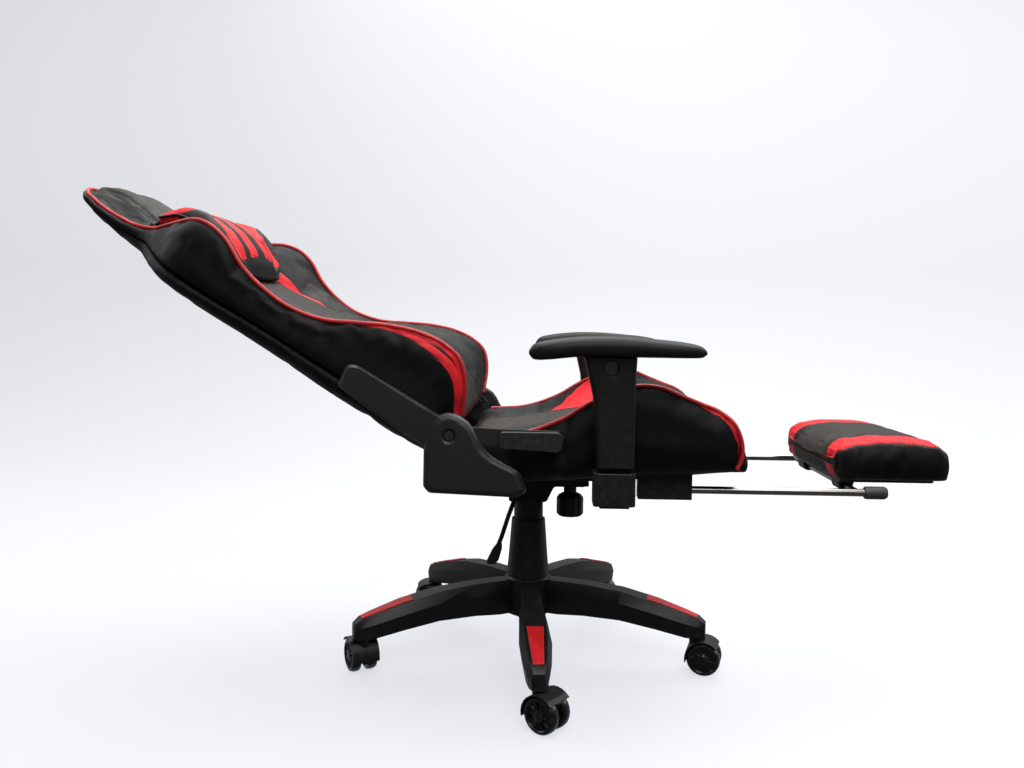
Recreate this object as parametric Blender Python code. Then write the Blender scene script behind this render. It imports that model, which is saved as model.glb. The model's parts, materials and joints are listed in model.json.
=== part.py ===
"""Racing-style gaming chair with a reclining back, height-adjustable arms and a pull-out footrest.

Metres, +Z up. The sitter faces -Y, and the sitter's left is +X. Shapes are drawn in a design
frame whose origin is on the gas column's axis at the floor. The last step moves the whole chair
so that the world origin lies under the middle of its bounding box. In side views u runs forward
(u = -Y) and z runs up. Pieces of the back are drawn upright from the recline axis: t runs up
along the back and n runs forward.
"""

import math

import bmesh
import bpy
from mathutils import Matrix, Vector

# Clearances
GAP = 0.0003
RUN = 0.0006

# Five-star base
BASE_ARMS = 5
BASE_YAW = math.radians(4.6)
STEM_RADIUS_AT = 0.315
ARM_TIP_AT = 0.334
HUB_BOTTOM = 0.082
HUB_TOP = 0.153
INLAY_THICKNESS = 0.0018
INLAY_INNER_AT = 0.228
INLAY_OUTER_AT = 0.320

# Twin-wheel casters
WHEEL_RADIUS = 0.030
WHEEL_WIDTH = 0.018
WHEEL_GAP = 0.012
AXLE_RADIUS = 0.004
STEM_RADIUS = 0.0055
CASTER_TRAIL = 0.018
CASTER_TURNS = [math.radians(a) for a in (233, 254, 37, 97, 30)]

# Gas column
CYLINDER_RADIUS = 0.025
HUB_RADIUS = CYLINDER_RADIUS + 0.019
PISTON_RADIUS = 0.014
CYLINDER_TOP = 0.255
COVER_WALL = 0.0022
UPPER_COVER_RADIUS = CYLINDER_RADIUS + 0.0025
LOWER_COVER_TOP = 0.262
COLUMN_TOP = 0.300

# Mechanism under the seat
HOUSING_HALF_WIDTH = 0.040
PLATE_TOP = 0.362
PLATE_THICKNESS = 0.004
PLATE_HALF_WIDTH = 0.095
TILT_AXIS = (0.045, 0.340)
KNOB_AT = 0.0785
KNOB_RADIUS = 0.0255
KNOB_TOP = 0.328
KNOB_HEIGHT = 0.060

# Seat
SEAT_HALF_WIDTH = 0.256
SEAT_REAR = -0.112
SEAT_FRONT = 0.354
SEAT_BOTTOM = 0.3722
SEAT_BOTTOM_SLOPE = 0.062
PAN_HALF_WIDTH = SEAT_HALF_WIDTH - 0.096

# Recline hinge and its covers
HINGE_AT = (-0.118, 0.455)
RECLINE = math.radians(53.8)
PIN_RADIUS = 0.008
COVER_STAND_OFF = 0.004
UPPER_COVER_THICK = 0.0155
LEVER_THICK = 0.0045
LOWER_COVER_THICK = 0.0175

# Back
BACK_LENGTH = 0.790
BACK_HALF_WIDTH = SEAT_HALF_WIDTH + 0.006
PANEL_DEPTH = 0.035
FRAME_TUBE_RADIUS = 0.0095
FRAME_HALF_WIDTH = BACK_HALF_WIDTH - 0.077
HOLE_AT = 0.795 * BACK_LENGTH
HOLE_ASIDE = 0.098
HOLE_HALF_LENGTH = 0.024
HOLE_HALF_WIDTH = 0.022
BEZEL_WALL = 0.003

# Head pillow
PILLOW_LOW = 0.572 * BACK_LENGTH
PILLOW_HIGH = 0.838 * BACK_LENGTH
PILLOW_HALF_WIDTH = 0.158
PILLOW_CLEAR = 0.0052
STRAP_WIDTH = 0.022

# Arms
ARM_ASIDE = SEAT_HALF_WIDTH + 0.038
ARM_UPRIGHT_AT = (0.117, 0.163)
ARM_UPRIGHT_THICK = 0.008
ARM_PAD_HALF_WIDTH = 0.045
ARM_PAD_REAR = 0.005
ARM_PAD_FRONT = 0.274
ARM_PAD_BOTTOM = 0.5805
ARM_BUTTON_RADIUS = 0.011

# Footrest
ROD_RADIUS = 0.0065
ROD_ASIDE = SEAT_HALF_WIDTH - 0.068
ROD_HEIGHT = 0.356
ROD_REAR = 0.188
CROSSBAR_AT = 0.550
CAP_REAR = 0.5595
CAP_FRONT = 0.596
SLIDE_BLOCK = (0.186, 0.275)
FOOT_PAD_REAR = 0.525
FOOT_PAD_FRONT = 0.711
FOOT_PAD_BOTTOM = 0.3715
FOOT_PAD_HALF_WIDTH = ROD_ASIDE - 0.0125

SIDES = (("right", -1), ("left", 1))


# ---------------------------------------------------------------- drawing helpers


def loft(rings, closed=False):
    """A closed surface through rings of equal length; an open run gets flat ends."""
    mesh = bmesh.new()
    loops = [[mesh.verts.new(point) for point in ring] for ring in rings]
    pairs = list(zip(loops, loops[1:]))
    if closed:
        pairs.append((loops[-1], loops[0]))
    count = len(loops[0])
    for low, high in pairs:
        for i in range(count):
            j = (i + 1) % count
            mesh.faces.new((low[i], low[j], high[j], high[i]))
    if not closed:
        mesh.faces.new(loops[0])
        mesh.faces.new(loops[-1])
    bmesh.ops.recalc_face_normals(mesh, faces=mesh.faces)
    return mesh


def turned(profile, segments=28, closed=False):
    """A shape turned about Z from (radius, z) points; closed joins the last point to the first."""
    angles = [2 * math.pi * i / segments for i in range(segments)]
    rings = [[(r * math.cos(a), r * math.sin(a), z) for a in angles] for r, z in profile]
    return loft(rings, closed)


def sleeve(outer, inner, segments=28):
    """A tube about Z: the outer profile from top to bottom, then the inner one back up."""
    return turned(outer + inner, segments, closed=True)


def cylinder(radius, start, end, segments=16):
    """A straight round bar between two points."""
    start, end = Vector(start), Vector(end)
    along = end - start
    mesh = turned([(radius, 0.0), (radius, along.length)], segments)
    turn = Vector((0, 0, 1)).rotation_difference(along).to_matrix().to_4x4()
    mesh.transform(Matrix.Translation(start) @ turn)
    return mesh


def rounded(outline, radius, steps=3):
    """The outline with its corners rounded; a third number on a point is its own radius."""
    points = []
    for i, corner in enumerate(outline):
        here = Vector(corner[:2])
        reach = corner[2] if len(corner) > 2 else radius
        before = Vector(outline[i - 1][:2]) - here
        after = Vector(outline[(i + 1) % len(outline)][:2]) - here
        reach = min(reach, 0.48 * before.length, 0.48 * after.length)
        start = here + before.normalized() * reach
        end = here + after.normalized() * reach
        for k in range(steps + 1):
            s = k / steps
            points.append(start * (1 - s) ** 2 + here * 2 * s * (1 - s) + end * s**2)
    return points


def side_plate(outline, low, high):
    """A (u, z) outline given its thickness between two x values."""
    return loft([[(x, -u, z) for u, z in outline] for x in (low, high)])


def cross_plate(outline, rear, front):
    """An (x, z) outline run along u."""
    return loft([[(x, -u, z) for x, z in outline] for u in (rear, front)])


def flat_plate(outline, low, high):
    """An (x, u) outline given its thickness between two z values."""
    return loft([[(x, -u, z) for x, u in outline] for z in (low, high)])


def rectangle(low_a, high_a, low_b, high_b):
    return [(low_a, low_b), (high_a, low_b), (high_a, high_b), (low_a, high_b)]


def mirrored(half):
    """A ring completed from its x >= 0 half, whose first and last points lie on x = 0."""
    return half + [(-x, y, z) for x, y, z in reversed(half[1:-1])]


def boolean(first, second, operation):
    """The closed shape left when the second mesh is joined to the first or cut from it."""
    solids = []
    for mesh in (first, second):
        data = bpy.data.meshes.new("operand")
        mesh.to_mesh(data)
        mesh.free()
        solid = bpy.data.objects.new("operand", data)
        bpy.context.scene.collection.objects.link(solid)
        solids.append(solid)
    modifier = solids[0].modifiers.new("boolean", "BOOLEAN")
    modifier.operation = operation
    modifier.solver = "EXACT"
    modifier.object = solids[1]
    bpy.context.view_layer.update()
    graph = bpy.context.evaluated_depsgraph_get()
    result = bmesh.new()
    result.from_mesh(solids[0].evaluated_get(graph).to_mesh())
    for solid in solids:
        data = solid.data
        bpy.data.objects.remove(solid)
        bpy.data.meshes.remove(data)
    bmesh.ops.remove_doubles(result, verts=result.verts, dist=1e-6)
    return result


def joined(first, *others):
    for other in others:
        first = boolean(first, other, "UNION")
    return first


def cut(first, *others):
    for other in others:
        first = boolean(first, other, "DIFFERENCE")
    return first


def together(meshes):
    """Several separate shapes in one mesh, for use as a tool on another."""
    result = bmesh.new()
    for mesh in meshes:
        data = bpy.data.meshes.new("collected")
        mesh.to_mesh(data)
        mesh.free()
        result.from_mesh(data)
        bpy.data.meshes.remove(data)
    return result


def moved(mesh, matrix):
    mesh.transform(matrix)
    if matrix.determinant() < 0:
        bmesh.ops.reverse_faces(mesh, faces=mesh.faces)
    return mesh


def between(stations, at):
    """Values read from a table of (position, value, ...) rows by straight-line interpolation."""
    for low, high in zip(stations, stations[1:]):
        if at <= high[0]:
            break
    share = (at - low[0]) / (high[0] - low[0])
    share = min(max(share, 0.0), 1.0)
    return [a + (b - a) * share for a, b in zip(low[1:], high[1:])]


# ---------------------------------------------------------------- scene helpers


def material(name, colour, roughness, metallic=0.0):
    made = bpy.data.materials.new(name)
    made.use_nodes = True
    shader = made.node_tree.nodes["Principled BSDF"]
    shader.inputs["Base Color"].default_value = (*colour, 1.0)
    shader.inputs["Roughness"].default_value = roughness
    shader.inputs["Metallic"].default_value = metallic
    made.diffuse_color = (*colour, 1.0)
    return made


def empty(name, parent, location, turn=0.0):
    """An empty on a joint's axis, given in the design frame, turned about X for the back."""
    made = bpy.data.objects.new(name, None)
    bpy.context.scene.collection.objects.link(made)
    made.parent = parent
    place = Matrix.Translation(location) @ Matrix.Rotation(turn, 4, "X")
    made.matrix_basis = design_place(parent).inverted() @ place if parent else place
    return made


def design_place(holder):
    """Where an empty stands in the design frame."""
    place = Matrix.Identity(4)
    while holder.parent is not None:
        place = holder.matrix_basis @ place
        holder = holder.parent
    return place


def piece(name, mesh, finish, parent, local=False):
    """A named sub-part. Its mesh is drawn in the design frame, or in its parent's if local."""
    data = bpy.data.meshes.new(name)
    if not local:
        mesh.transform(design_place(parent).inverted())
    mesh.to_mesh(data)
    mesh.free()
    data.materials.append(finish)
    data.shade_smooth()
    data.set_sharp_from_angle(angle=math.radians(35))
    made = bpy.data.objects.new(name, data)
    bpy.context.scene.collection.objects.link(made)
    made.parent = parent
    return made


# ---------------------------------------------------------------- base and casters

# distance from the column, half width, top, underside
ARM_STATIONS = [
    (0.034, 0.0170, 0.1490, 0.0850),
    (0.062, 0.0215, 0.1480, 0.0850),
    (0.110, 0.0220, 0.1465, 0.0875),
    (0.180, 0.0245, 0.1400, 0.0865),
    (0.245, 0.0275, 0.1250, 0.0775),
    (0.300, 0.0225, 0.1085, 0.0660),
    (0.322, 0.0185, 0.1010, 0.0650),
    (ARM_TIP_AT, 0.0120, 0.0920, 0.0650),
]


def arm_place(k):
    """Turns a shape drawn along -X so that it lies along arm k."""
    return Matrix.Rotation(BASE_YAW + 2 * math.pi * k / BASE_ARMS, 4, "Z")


def base_arm():
    rings = []
    for r, half, top, low in ARM_STATIONS:
        shoulder = low + 0.62 * (top - low)
        outline = [(-0.82 * half, low), (0.82 * half, low), (half, shoulder), (0.70 * half, top),
                   (-0.70 * half, top), (-half, shoulder)]
        rings.append([(-r, y, z) for y, z in outline])
    return loft(rings)


def base_star():
    hub = sleeve(
        [(HUB_RADIUS - 0.004, HUB_TOP), (HUB_RADIUS, HUB_TOP - 0.004),
         (HUB_RADIUS, HUB_BOTTOM + 0.003), (HUB_RADIUS - 0.003, HUB_BOTTOM)],
        [(CYLINDER_RADIUS + GAP, HUB_BOTTOM), (CYLINDER_RADIUS + GAP, HUB_TOP)],
        segments=30,
    )
    arms = together([moved(base_arm(), arm_place(k)) for k in range(BASE_ARMS)])
    socket_top = 0.0935
    sockets = together([
        moved(cylinder(STEM_RADIUS + GAP, (-STEM_RADIUS_AT, 0, 0.05), (-STEM_RADIUS_AT, 0, socket_top)),
              arm_place(k))
        for k in range(BASE_ARMS)
    ])
    return cut(joined(hub, arms), sockets)


def base_inlay():
    """A thin tapered strip that follows the top of an arm."""
    inner_half, outer_half = 0.0145, 0.0092
    stops = [INLAY_INNER_AT] + [s[0] for s in ARM_STATIONS if INLAY_INNER_AT < s[0] < INLAY_OUTER_AT]
    rings = []
    for r in stops + [INLAY_OUTER_AT]:
        share = (r - INLAY_INNER_AT) / (INLAY_OUTER_AT - INLAY_INNER_AT)
        half = inner_half + (outer_half - inner_half) * share
        low = between(ARM_STATIONS, r)[1] + GAP
        high = low + INLAY_THICKNESS
        rings.append([(-r, y, z) for y, z in
                      ((-half, low), (half, low), (half - 0.0008, high), (0.0008 - half, high))])
    return loft(rings)


def caster_fork():
    """Hood, web and stem, drawn with the stem on Z and the wheels trailing towards +X."""
    hood_inner, hood_outer = WHEEL_RADIUS + 0.0012, WHEEL_RADIUS + 0.0032
    angles = [math.radians(a) for a in range(-12, 153, 15)]
    centre = Vector((CASTER_TRAIL, WHEEL_RADIUS))
    band = [centre + hood_outer * Vector((-math.cos(a), math.sin(a))) for a in angles]
    band += [centre + hood_inner * Vector((-math.cos(a), math.sin(a))) for a in reversed(angles)]
    half = WHEEL_WIDTH + WHEEL_GAP / 2 + 0.001
    hood = loft([[(x, y, z) for x, z in band] for y in (-half, half)])
    web_half = WHEEL_GAP / 2 - 0.001
    web_angles = [math.radians(a) for a in range(-20, 141, 20)]
    web = [centre + (hood_inner + 0.001) * Vector((-math.cos(a), math.sin(a))) for a in web_angles]
    web.append(centre + Vector((0.009, -0.009)))
    web.append(centre + Vector((-0.009, -0.012)))
    web = loft([[(x, y, z) for x, z in web] for y in (-web_half, web_half)])
    collar_top = 0.0644
    stem = turned([(0.0095, 0.040), (0.0095, collar_top), (STEM_RADIUS, collar_top + 0.0001),
                   (STEM_RADIUS, 0.0925)], 16)
    keep_out = [cylinder(WHEEL_RADIUS + 0.0008, (CASTER_TRAIL, side * (web_half + 0.00005), WHEEL_RADIUS),
                         (CASTER_TRAIL, side * (half + 0.004), WHEEL_RADIUS), 28) for side in (-1, 1)]
    axle_hole = cylinder(AXLE_RADIUS + GAP, (CASTER_TRAIL, -half - 0.01, WHEEL_RADIUS),
                         (CASTER_TRAIL, half + 0.01, WHEEL_RADIUS))
    return cut(joined(hood, web, stem), together(keep_out), axle_hole)


def caster_wheels():
    """Both wheels and their axle, drawn about Z and then laid along Y."""
    inner, outer = WHEEL_GAP / 2, WHEEL_GAP / 2 + WHEEL_WIDTH
    half = [(AXLE_RADIUS, inner), (WHEEL_RADIUS - 0.003, inner), (WHEEL_RADIUS, inner + 0.003),
            (WHEEL_RADIUS, outer - 0.004), (WHEEL_RADIUS - 0.004, outer)]
    profile = [(r, -a) for r, a in reversed(half)] + half
    mesh = turned(profile, 28)
    mesh.transform(Matrix.Rotation(math.radians(90), 4, "X"))
    return mesh


def build_base(root, finishes):
    piece("base_star", base_star(), finishes["nylon"], root)
    for k in range(BASE_ARMS):
        piece(f"base_inlay_{k + 1}", moved(base_inlay(), arm_place(k)), finishes["red_trim"], root)
    piece("gas_cylinder", sleeve(
        [(CYLINDER_RADIUS, CYLINDER_TOP), (CYLINDER_RADIUS, HUB_BOTTOM - 0.008)],
        [(0.012, HUB_BOTTOM - 0.008), (0.012, HUB_BOTTOM + 0.012), (PISTON_RADIUS + RUN, HUB_BOTTOM + 0.014),
         (PISTON_RADIUS + RUN, CYLINDER_TOP)], 24), finishes["steel_black"], root)
    low_radius, top_radius = CYLINDER_RADIUS + 0.0125, CYLINDER_RADIUS + 0.0065
    piece("cover_lower", sleeve(
        [(top_radius, LOWER_COVER_TOP), (low_radius, HUB_TOP + 0.030), (low_radius + 0.003, HUB_TOP + GAP)],
        [(low_radius - COVER_WALL, HUB_TOP + GAP), (UPPER_COVER_RADIUS + 2 * RUN, LOWER_COVER_TOP)], 28),
        finishes["plastic"], root)
    for k in range(BASE_ARMS):
        build_caster(root, k, finishes)


def build_caster(root, k, finishes):
    stem_at = arm_place(k) @ Vector((-STEM_RADIUS_AT, 0, 0))
    swivel = empty(f"caster_swivel_{k + 1}", root, stem_at)
    turn = Matrix.Rotation(CASTER_TURNS[k], 4, "Z")
    piece(f"caster_fork_{k + 1}", moved(caster_fork(), turn), finishes["nylon"], swivel, local=True)
    axle_at = stem_at + turn @ Vector((CASTER_TRAIL, 0, WHEEL_RADIUS))
    axle = empty(f"caster_axle_{k + 1}", swivel, axle_at)
    piece(f"caster_wheels_{k + 1}", moved(caster_wheels(), turn), finishes["tyre"], axle, local=True)


# ---------------------------------------------------------------- column and mechanism


def build_column(lift, finishes):
    piece("gas_piston", turned(
        [(PISTON_RADIUS, 0.140), (PISTON_RADIUS, COLUMN_TOP + 0.024)], 24), finishes["steel"], lift)
    inner = UPPER_COVER_RADIUS - COVER_WALL + 0.0006
    piece("cover_upper", sleeve(
        [(UPPER_COVER_RADIUS, COLUMN_TOP - GAP), (UPPER_COVER_RADIUS, HUB_TOP + 0.022)],
        [(inner, HUB_TOP + 0.022), (inner, COLUMN_TOP - 0.0035),
         (PISTON_RADIUS + GAP, COLUMN_TOP - 0.0030), (PISTON_RADIUS + GAP, COLUMN_TOP - GAP)], 24),
        finishes["plastic"], lift)


def mech_housing():
    """The casting on top of the gas column, with the spring housing in front."""
    knob_floor = KNOB_TOP + 0.001
    outline = [(-0.036, COLUMN_TOP), (0.034, COLUMN_TOP), (0.048, knob_floor), (0.106, knob_floor),
               (0.106, 0.3435), (0.040, 0.3435), (-0.036, 0.333)]
    casting = side_plate(rounded(outline, 0.004, 2), -HOUSING_HALF_WIDTH, HOUSING_HALF_WIDTH)
    bore = cylinder(PISTON_RADIUS + GAP, (0, 0, COLUMN_TOP - 0.01), (0, 0, COLUMN_TOP + 0.026), 24)
    return cut(casting, bore)


def tension_knob():
    """A ribbed hand knob under the spring housing, drawn about Z at its own axis."""
    lobes, per_lobe = 10, 4
    count = lobes * per_lobe
    low = KNOB_TOP - KNOB_HEIGHT

    def ring(radius, depth, z):
        points = []
        for i in range(count):
            a = 2 * math.pi * i / count
            r = radius - depth * (0.5 + 0.5 * math.cos(lobes * a))
            points.append((r * math.cos(a), r * math.sin(a), z))
        return points

    return loft([
        ring(KNOB_RADIUS - 0.004, 0.0, low), ring(KNOB_RADIUS, 0.0025, low + 0.004),
        ring(KNOB_RADIUS, 0.0025, low + 0.034), ring(KNOB_RADIUS - 0.004, 0.001, low + 0.040),
        ring(0.012, 0.0, low + 0.044), ring(0.012, 0.0, KNOB_TOP),
    ])


def mech_plate():
    """The folded steel plate that carries the seat and rocks on the housing."""
    low = PLATE_TOP - PLATE_THICKNESS
    flange_in = HOUSING_HALF_WIDTH + 0.0015
    flange_out = flange_in + 0.003
    outline = [
        (-PLATE_HALF_WIDTH, PLATE_TOP), (-PLATE_HALF_WIDTH, low), (-flange_out, low), (-flange_out, 0.331),
        (-flange_in, 0.331), (-flange_in, low), (flange_in, low), (flange_in, 0.331), (flange_out, 0.331),
        (flange_out, low), (PLATE_HALF_WIDTH, low), (PLATE_HALF_WIDTH, PLATE_TOP),
    ]
    return cross_plate(outline, -0.115, 0.112)


def height_lever():
    """A bent rod with a flat finger paddle at its lower end."""
    path = [(-0.050, -0.006, 0.3435), (-0.078, -0.010, 0.3400), (-0.094, -0.022, 0.318),
            (-0.101, -0.034, 0.285), (-0.106, -0.045, 0.250), (-0.109, -0.052, 0.232)]
    radius, count = 0.0042, 10
    rings = []
    for i, point in enumerate(path):
        here = Vector((point[0], -point[1], point[2]))
        low, high = path[max(i - 1, 0)], path[min(i + 1, len(path) - 1)]
        along = Vector((high[0] - low[0], low[1] - high[1], high[2] - low[2])).normalized()
        side = along.cross(Vector((0, 1, 0.2))).normalized()
        up = side.cross(along)
        rings.append([here + radius * (math.cos(a) * side + math.sin(a) * up)
                      for a in (2 * math.pi * k / count for k in range(count))])
    paddle_rings = []
    for share, half, thick in ((0.0, 0.0050, 0.0050), (0.25, 0.0085, 0.0042), (0.8, 0.0105, 0.0032),
                               (1.0, 0.0070, 0.0022)):
        centre = Vector((-0.108, 0.049, 0.238)) + share * Vector((-0.006, 0.014, -0.036))
        paddle_rings.append([centre + Vector((thick * math.cos(a), half * math.sin(a), 0))
                             for a in (2 * math.pi * k / 12 for k in range(12))])
    return joined(loft(rings), loft(paddle_rings))


# ---------------------------------------------------------------- seat

# share of the seat's depth, half-width inset, side edge height, centre height
SEAT_STATIONS = [
    (0.000, 0.024, 0.4330, 0.4220),
    (0.020, 0.012, 0.4420, 0.4280),
    (0.090, 0.004, 0.4470, 0.4320),
    (0.200, 0.001, 0.4515, 0.4370),
    (0.285, 0.000, 0.4620, 0.4430),
    (0.370, 0.000, 0.4790, 0.4500),
    (0.475, 0.000, 0.5080, 0.4570),
    (0.605, 0.000, 0.5315, 0.4640),
    (0.690, 0.000, 0.5315, 0.4700),
    (0.775, 0.000, 0.5170, 0.4750),
    (0.865, 0.001, 0.4995, 0.4790),
    (0.938, 0.001, 0.4820, 0.4750),
    (0.978, 0.004, 0.4560, 0.4620),
    (1.000, 0.010, 0.4240, 0.4370),
]


def seat_bottom(u):
    return SEAT_BOTTOM + SEAT_BOTTOM_SLOPE * u


def seat_cushion():
    rings = []
    for share, inset, edge, centre in SEAT_STATIONS:
        u = SEAT_REAR + share * (SEAT_FRONT - SEAT_REAR)
        half = SEAT_HALF_WIDTH - inset
        low = seat_bottom(u)
        shelf = 0.55 * half
        section = [
            (0.0, low), (0.9 * half, low), (half - 0.004, low + 0.008), (half, low + 0.45 * (edge - low)),
            (half - 0.002, edge - 0.006), (half - 0.012, edge), (half - 0.040, edge - 0.2 * (edge - centre)),
            (shelf, centre + 0.004), (0.5 * shelf, centre), (0.0, centre + 0.001),
        ]
        rings.append(mirrored([(x, -u, z) for x, z in section]))
    return loft(rings)


def seat_pan():
    """The board under the cushion, flat where the mechanism's plate is screwed to it."""
    rear, bend, front = -0.100, 0.140, 0.330
    outline = [(rear, PLATE_TOP + GAP), (bend, PLATE_TOP + GAP), (front, seat_bottom(front) - 0.012),
               (front, seat_bottom(front) - GAP), (rear, seat_bottom(rear) - GAP)]
    return side_plate(outline, -PAN_HALF_WIDTH, PAN_HALF_WIDTH)


# ---------------------------------------------------------------- recline hinge


def side_layers():
    """How far from the middle each layer at the hinge starts: upper cover, lever, lower cover, outside."""
    upper = BACK_HALF_WIDTH + COVER_STAND_OFF
    lever = upper + UPPER_COVER_THICK + RUN
    lower = lever + LEVER_THICK + RUN
    return upper, lever, lower, lower + LOWER_COVER_THICK


def hinge_point(du, dz):
    return HINGE_AT[0] + du, HINGE_AT[1] + dz


def side_cylinder(radius, side, low, high, segments=24):
    u, z = HINGE_AT
    return cylinder(radius, (side * low, -u, z), (side * high, -u, z), segments)


def lower_cover(side):
    """The fixed side cover: a foot along the seat and a hump around the recline axis."""
    upper, _, lower, outside = side_layers()
    outline = [
        (-0.040, -0.019, 0.004), (-0.041, -0.081, 0.004), (-0.032, -0.091, 0.004), (0.105, -0.096, 0.006),
        (0.123, -0.088, 0.006), (0.111, -0.056, 0.006), (0.087, -0.044, 0.02), (0.061, -0.029, 0.03),
        (0.044, -0.003, 0.03), (0.031, 0.024, 0.03), (-0.005, 0.040, 0.03), (-0.030, 0.022, 0.02),
    ]
    edge = rounded([(*hinge_point(a, b), r) for a, b, r in outline], 0.004, 2)
    centre = sum(edge, Vector((0, 0))) / len(edge)
    bevel = 0.006
    inner = [p + (centre - p).normalized() * 0.0075 for p in edge]
    cover = loft([[(side * x, -u, z) for u, z in points] for x, points in
                  ((lower, edge), (outside - bevel, edge), (outside, inner))])
    foot = rectangle(*sorted((hinge_point(0.018, 0)[0], hinge_point(0.108, 0)[0])),
                     HINGE_AT[1] - 0.088, HINGE_AT[1] - 0.056)
    seat_side = SEAT_HALF_WIDTH + GAP
    rib = side_plate(foot, side * seat_side, side * (lower + 0.003))
    return cut(joined(cover, rib), side_cylinder(PIN_RADIUS + GAP, side, lower - 0.02, outside + 0.01))


def upper_cover(side):
    """The bar that rides on the back: drawn as (t, n) from the recline axis."""
    upper, lever, _, _ = side_layers()
    high = lever - RUN
    outline = [(-0.028, -0.036, 0.03), (0.075, -0.047, 0.02), (0.190, -0.046, 0.004), (0.197, -0.010, 0.006),
               (0.185, -0.002, 0.006), (0.040, 0.012, 0.02), (-0.028, 0.018, 0.03)]
    edge = rounded(outline, 0.004, 3)
    centre = sum(edge, Vector((0, 0))) / len(edge)
    inner = [p + (centre - p).normalized() * 0.006 for p in edge]
    bar = loft([[(side * x, -n, t) for t, n in points] for x, points in
                ((upper, edge), (high - 0.005, edge), (high, inner))])
    hole = cylinder(PIN_RADIUS + RUN, (side * (upper - 0.01), 0, 0), (side * (high + 0.01), 0, 0), 24)
    return cut(bar, hole)


def recline_lever():
    """The pull-up lever on the sitter's right, between the two covers."""
    _, lever, lower, outside = side_layers()
    blade = [hinge_point(a, b) for a, b in
             ((-0.013, -0.008), (0.0, -0.014), (0.075, -0.014), (0.176, -0.020), (0.178, 0.000),
              (0.170, 0.008), (0.080, 0.010), (0.0, 0.014), (-0.013, 0.008))]
    plate = side_plate(blade, -lever, -(lower - RUN))
    grip = [(*hinge_point(a, b),) for a, b in
            ((0.079, -0.017), (0.172, -0.023), (0.178, -0.004), (0.172, 0.007), (0.079, 0.007))]
    grip = side_plate(rounded(grip, 0.006, 3), -(lever + 0.001), -(outside - 0.001))
    hole = side_cylinder(PIN_RADIUS + RUN, -1, lever - 0.01, outside)
    return cut(joined(plate, grip), hole)


def build_hinges(seat, back, lever_pivot, finishes):
    for name, side in SIDES:
        upper, _, _, outside = side_layers()
        piece(f"hinge_cover_{name}", lower_cover(side), finishes["plastic"], seat)
        piece(f"recliner_pin_{name}", side_cylinder(PIN_RADIUS, side, upper - 0.003, outside - 0.003),
              finishes["steel"], seat)
        piece(f"back_cover_{name}", upper_cover(side), finishes["plastic"], back, local=True)
    piece("recline_lever", recline_lever(), finishes["plastic"], lever_pivot)


# ---------------------------------------------------------------- back

# share of the back's length, half-width inset, side edge n, centre front n, rear n
BACK_STATIONS = [
    (0.008, 0.022, 0.030, 0.018, -0.0520),
    (0.038, 0.007, 0.072, 0.044, -0.0570),
    (0.068, 0.001, 0.097, 0.052, -0.0595),
    (0.115, 0.000, 0.1055, 0.054, -0.0630),
    (0.165, 0.000, 0.0990, 0.050, -0.0655),
    (0.230, 0.003, 0.0770, 0.036, -0.0700),
    (0.290, 0.008, 0.0480, 0.020, -0.0740),
    (0.350, 0.013, 0.0190, 0.004, -0.0770),
    (0.415, 0.016, 0.0025, -0.010, -0.0800),
    (0.485, 0.010, 0.0010, -0.022, -0.0830),
    (0.545, 0.003, 0.0100, -0.032, -0.0860),
    (0.610, 0.000, 0.0310, -0.040, -0.0890),
    (0.650, 0.002, 0.0330, -0.044, -0.0905),
    (0.685, 0.014, 0.0240, -0.047, -0.0915),
    (0.717, 0.036, 0.0040, -0.048, -0.0920),
    (0.755, 0.070, -0.0220, -0.048, -0.0925),
    (0.787, 0.098, -0.0420, -0.045, -0.0925),
    (0.830, 0.114, -0.0590, -0.040, -0.0930),
    (0.885, 0.118, -0.0690, -0.038, -0.0920),
    (0.945, 0.126, -0.0715, -0.043, -0.0880),
    (0.985, 0.146, -0.0705, -0.055, -0.0815),
    (1.000, 0.172, -0.0700, -0.063, -0.0770),
]


def back_split(share, edge, rear):
    """Where the rear panel ends and the cushion begins."""
    return rear + min(PANEL_DEPTH * (1.0 - 0.45 * share), 0.42 * (edge - rear))


def back_front(half, edge, centre):
    """The front of one cross-section, from the side edge in to the middle, as (x, n)."""
    shelf = 0.56 * half
    return [(half - 0.014, edge), (half - 0.036, edge - 0.22 * (edge - centre)),
            (shelf, centre + 0.05 * (edge - centre)), (0.5 * shelf, centre), (0.0, centre)]


def back_surface(t, x):
    """The height n of the back's front surface."""
    inset, edge, centre, _ = between(BACK_STATIONS, t / BACK_LENGTH)
    return between(back_front(BACK_HALF_WIDTH - inset, edge, centre)[::-1], x)[0]


def back_cushion():
    rings = []
    for share, inset, edge, centre, rear in BACK_STATIONS:
        t = share * BACK_LENGTH
        half = BACK_HALF_WIDTH - inset
        low = back_split(share, edge, rear) + GAP
        section = [
            (0.0, low), (0.93 * half, low), (half - 0.003, low + 0.1 * (edge - low)),
            (half, low + 0.5 * (edge - low)), (half - 0.004, edge - 0.12 * (edge - low)),
            *back_front(half, edge, centre),
        ]
        rings.append(mirrored([(x, -n, t) for x, n in section]))
    return cut(loft(rings), together([head_hole(side, HOLE_HALF_WIDTH) for _, side in SIDES]))


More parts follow.
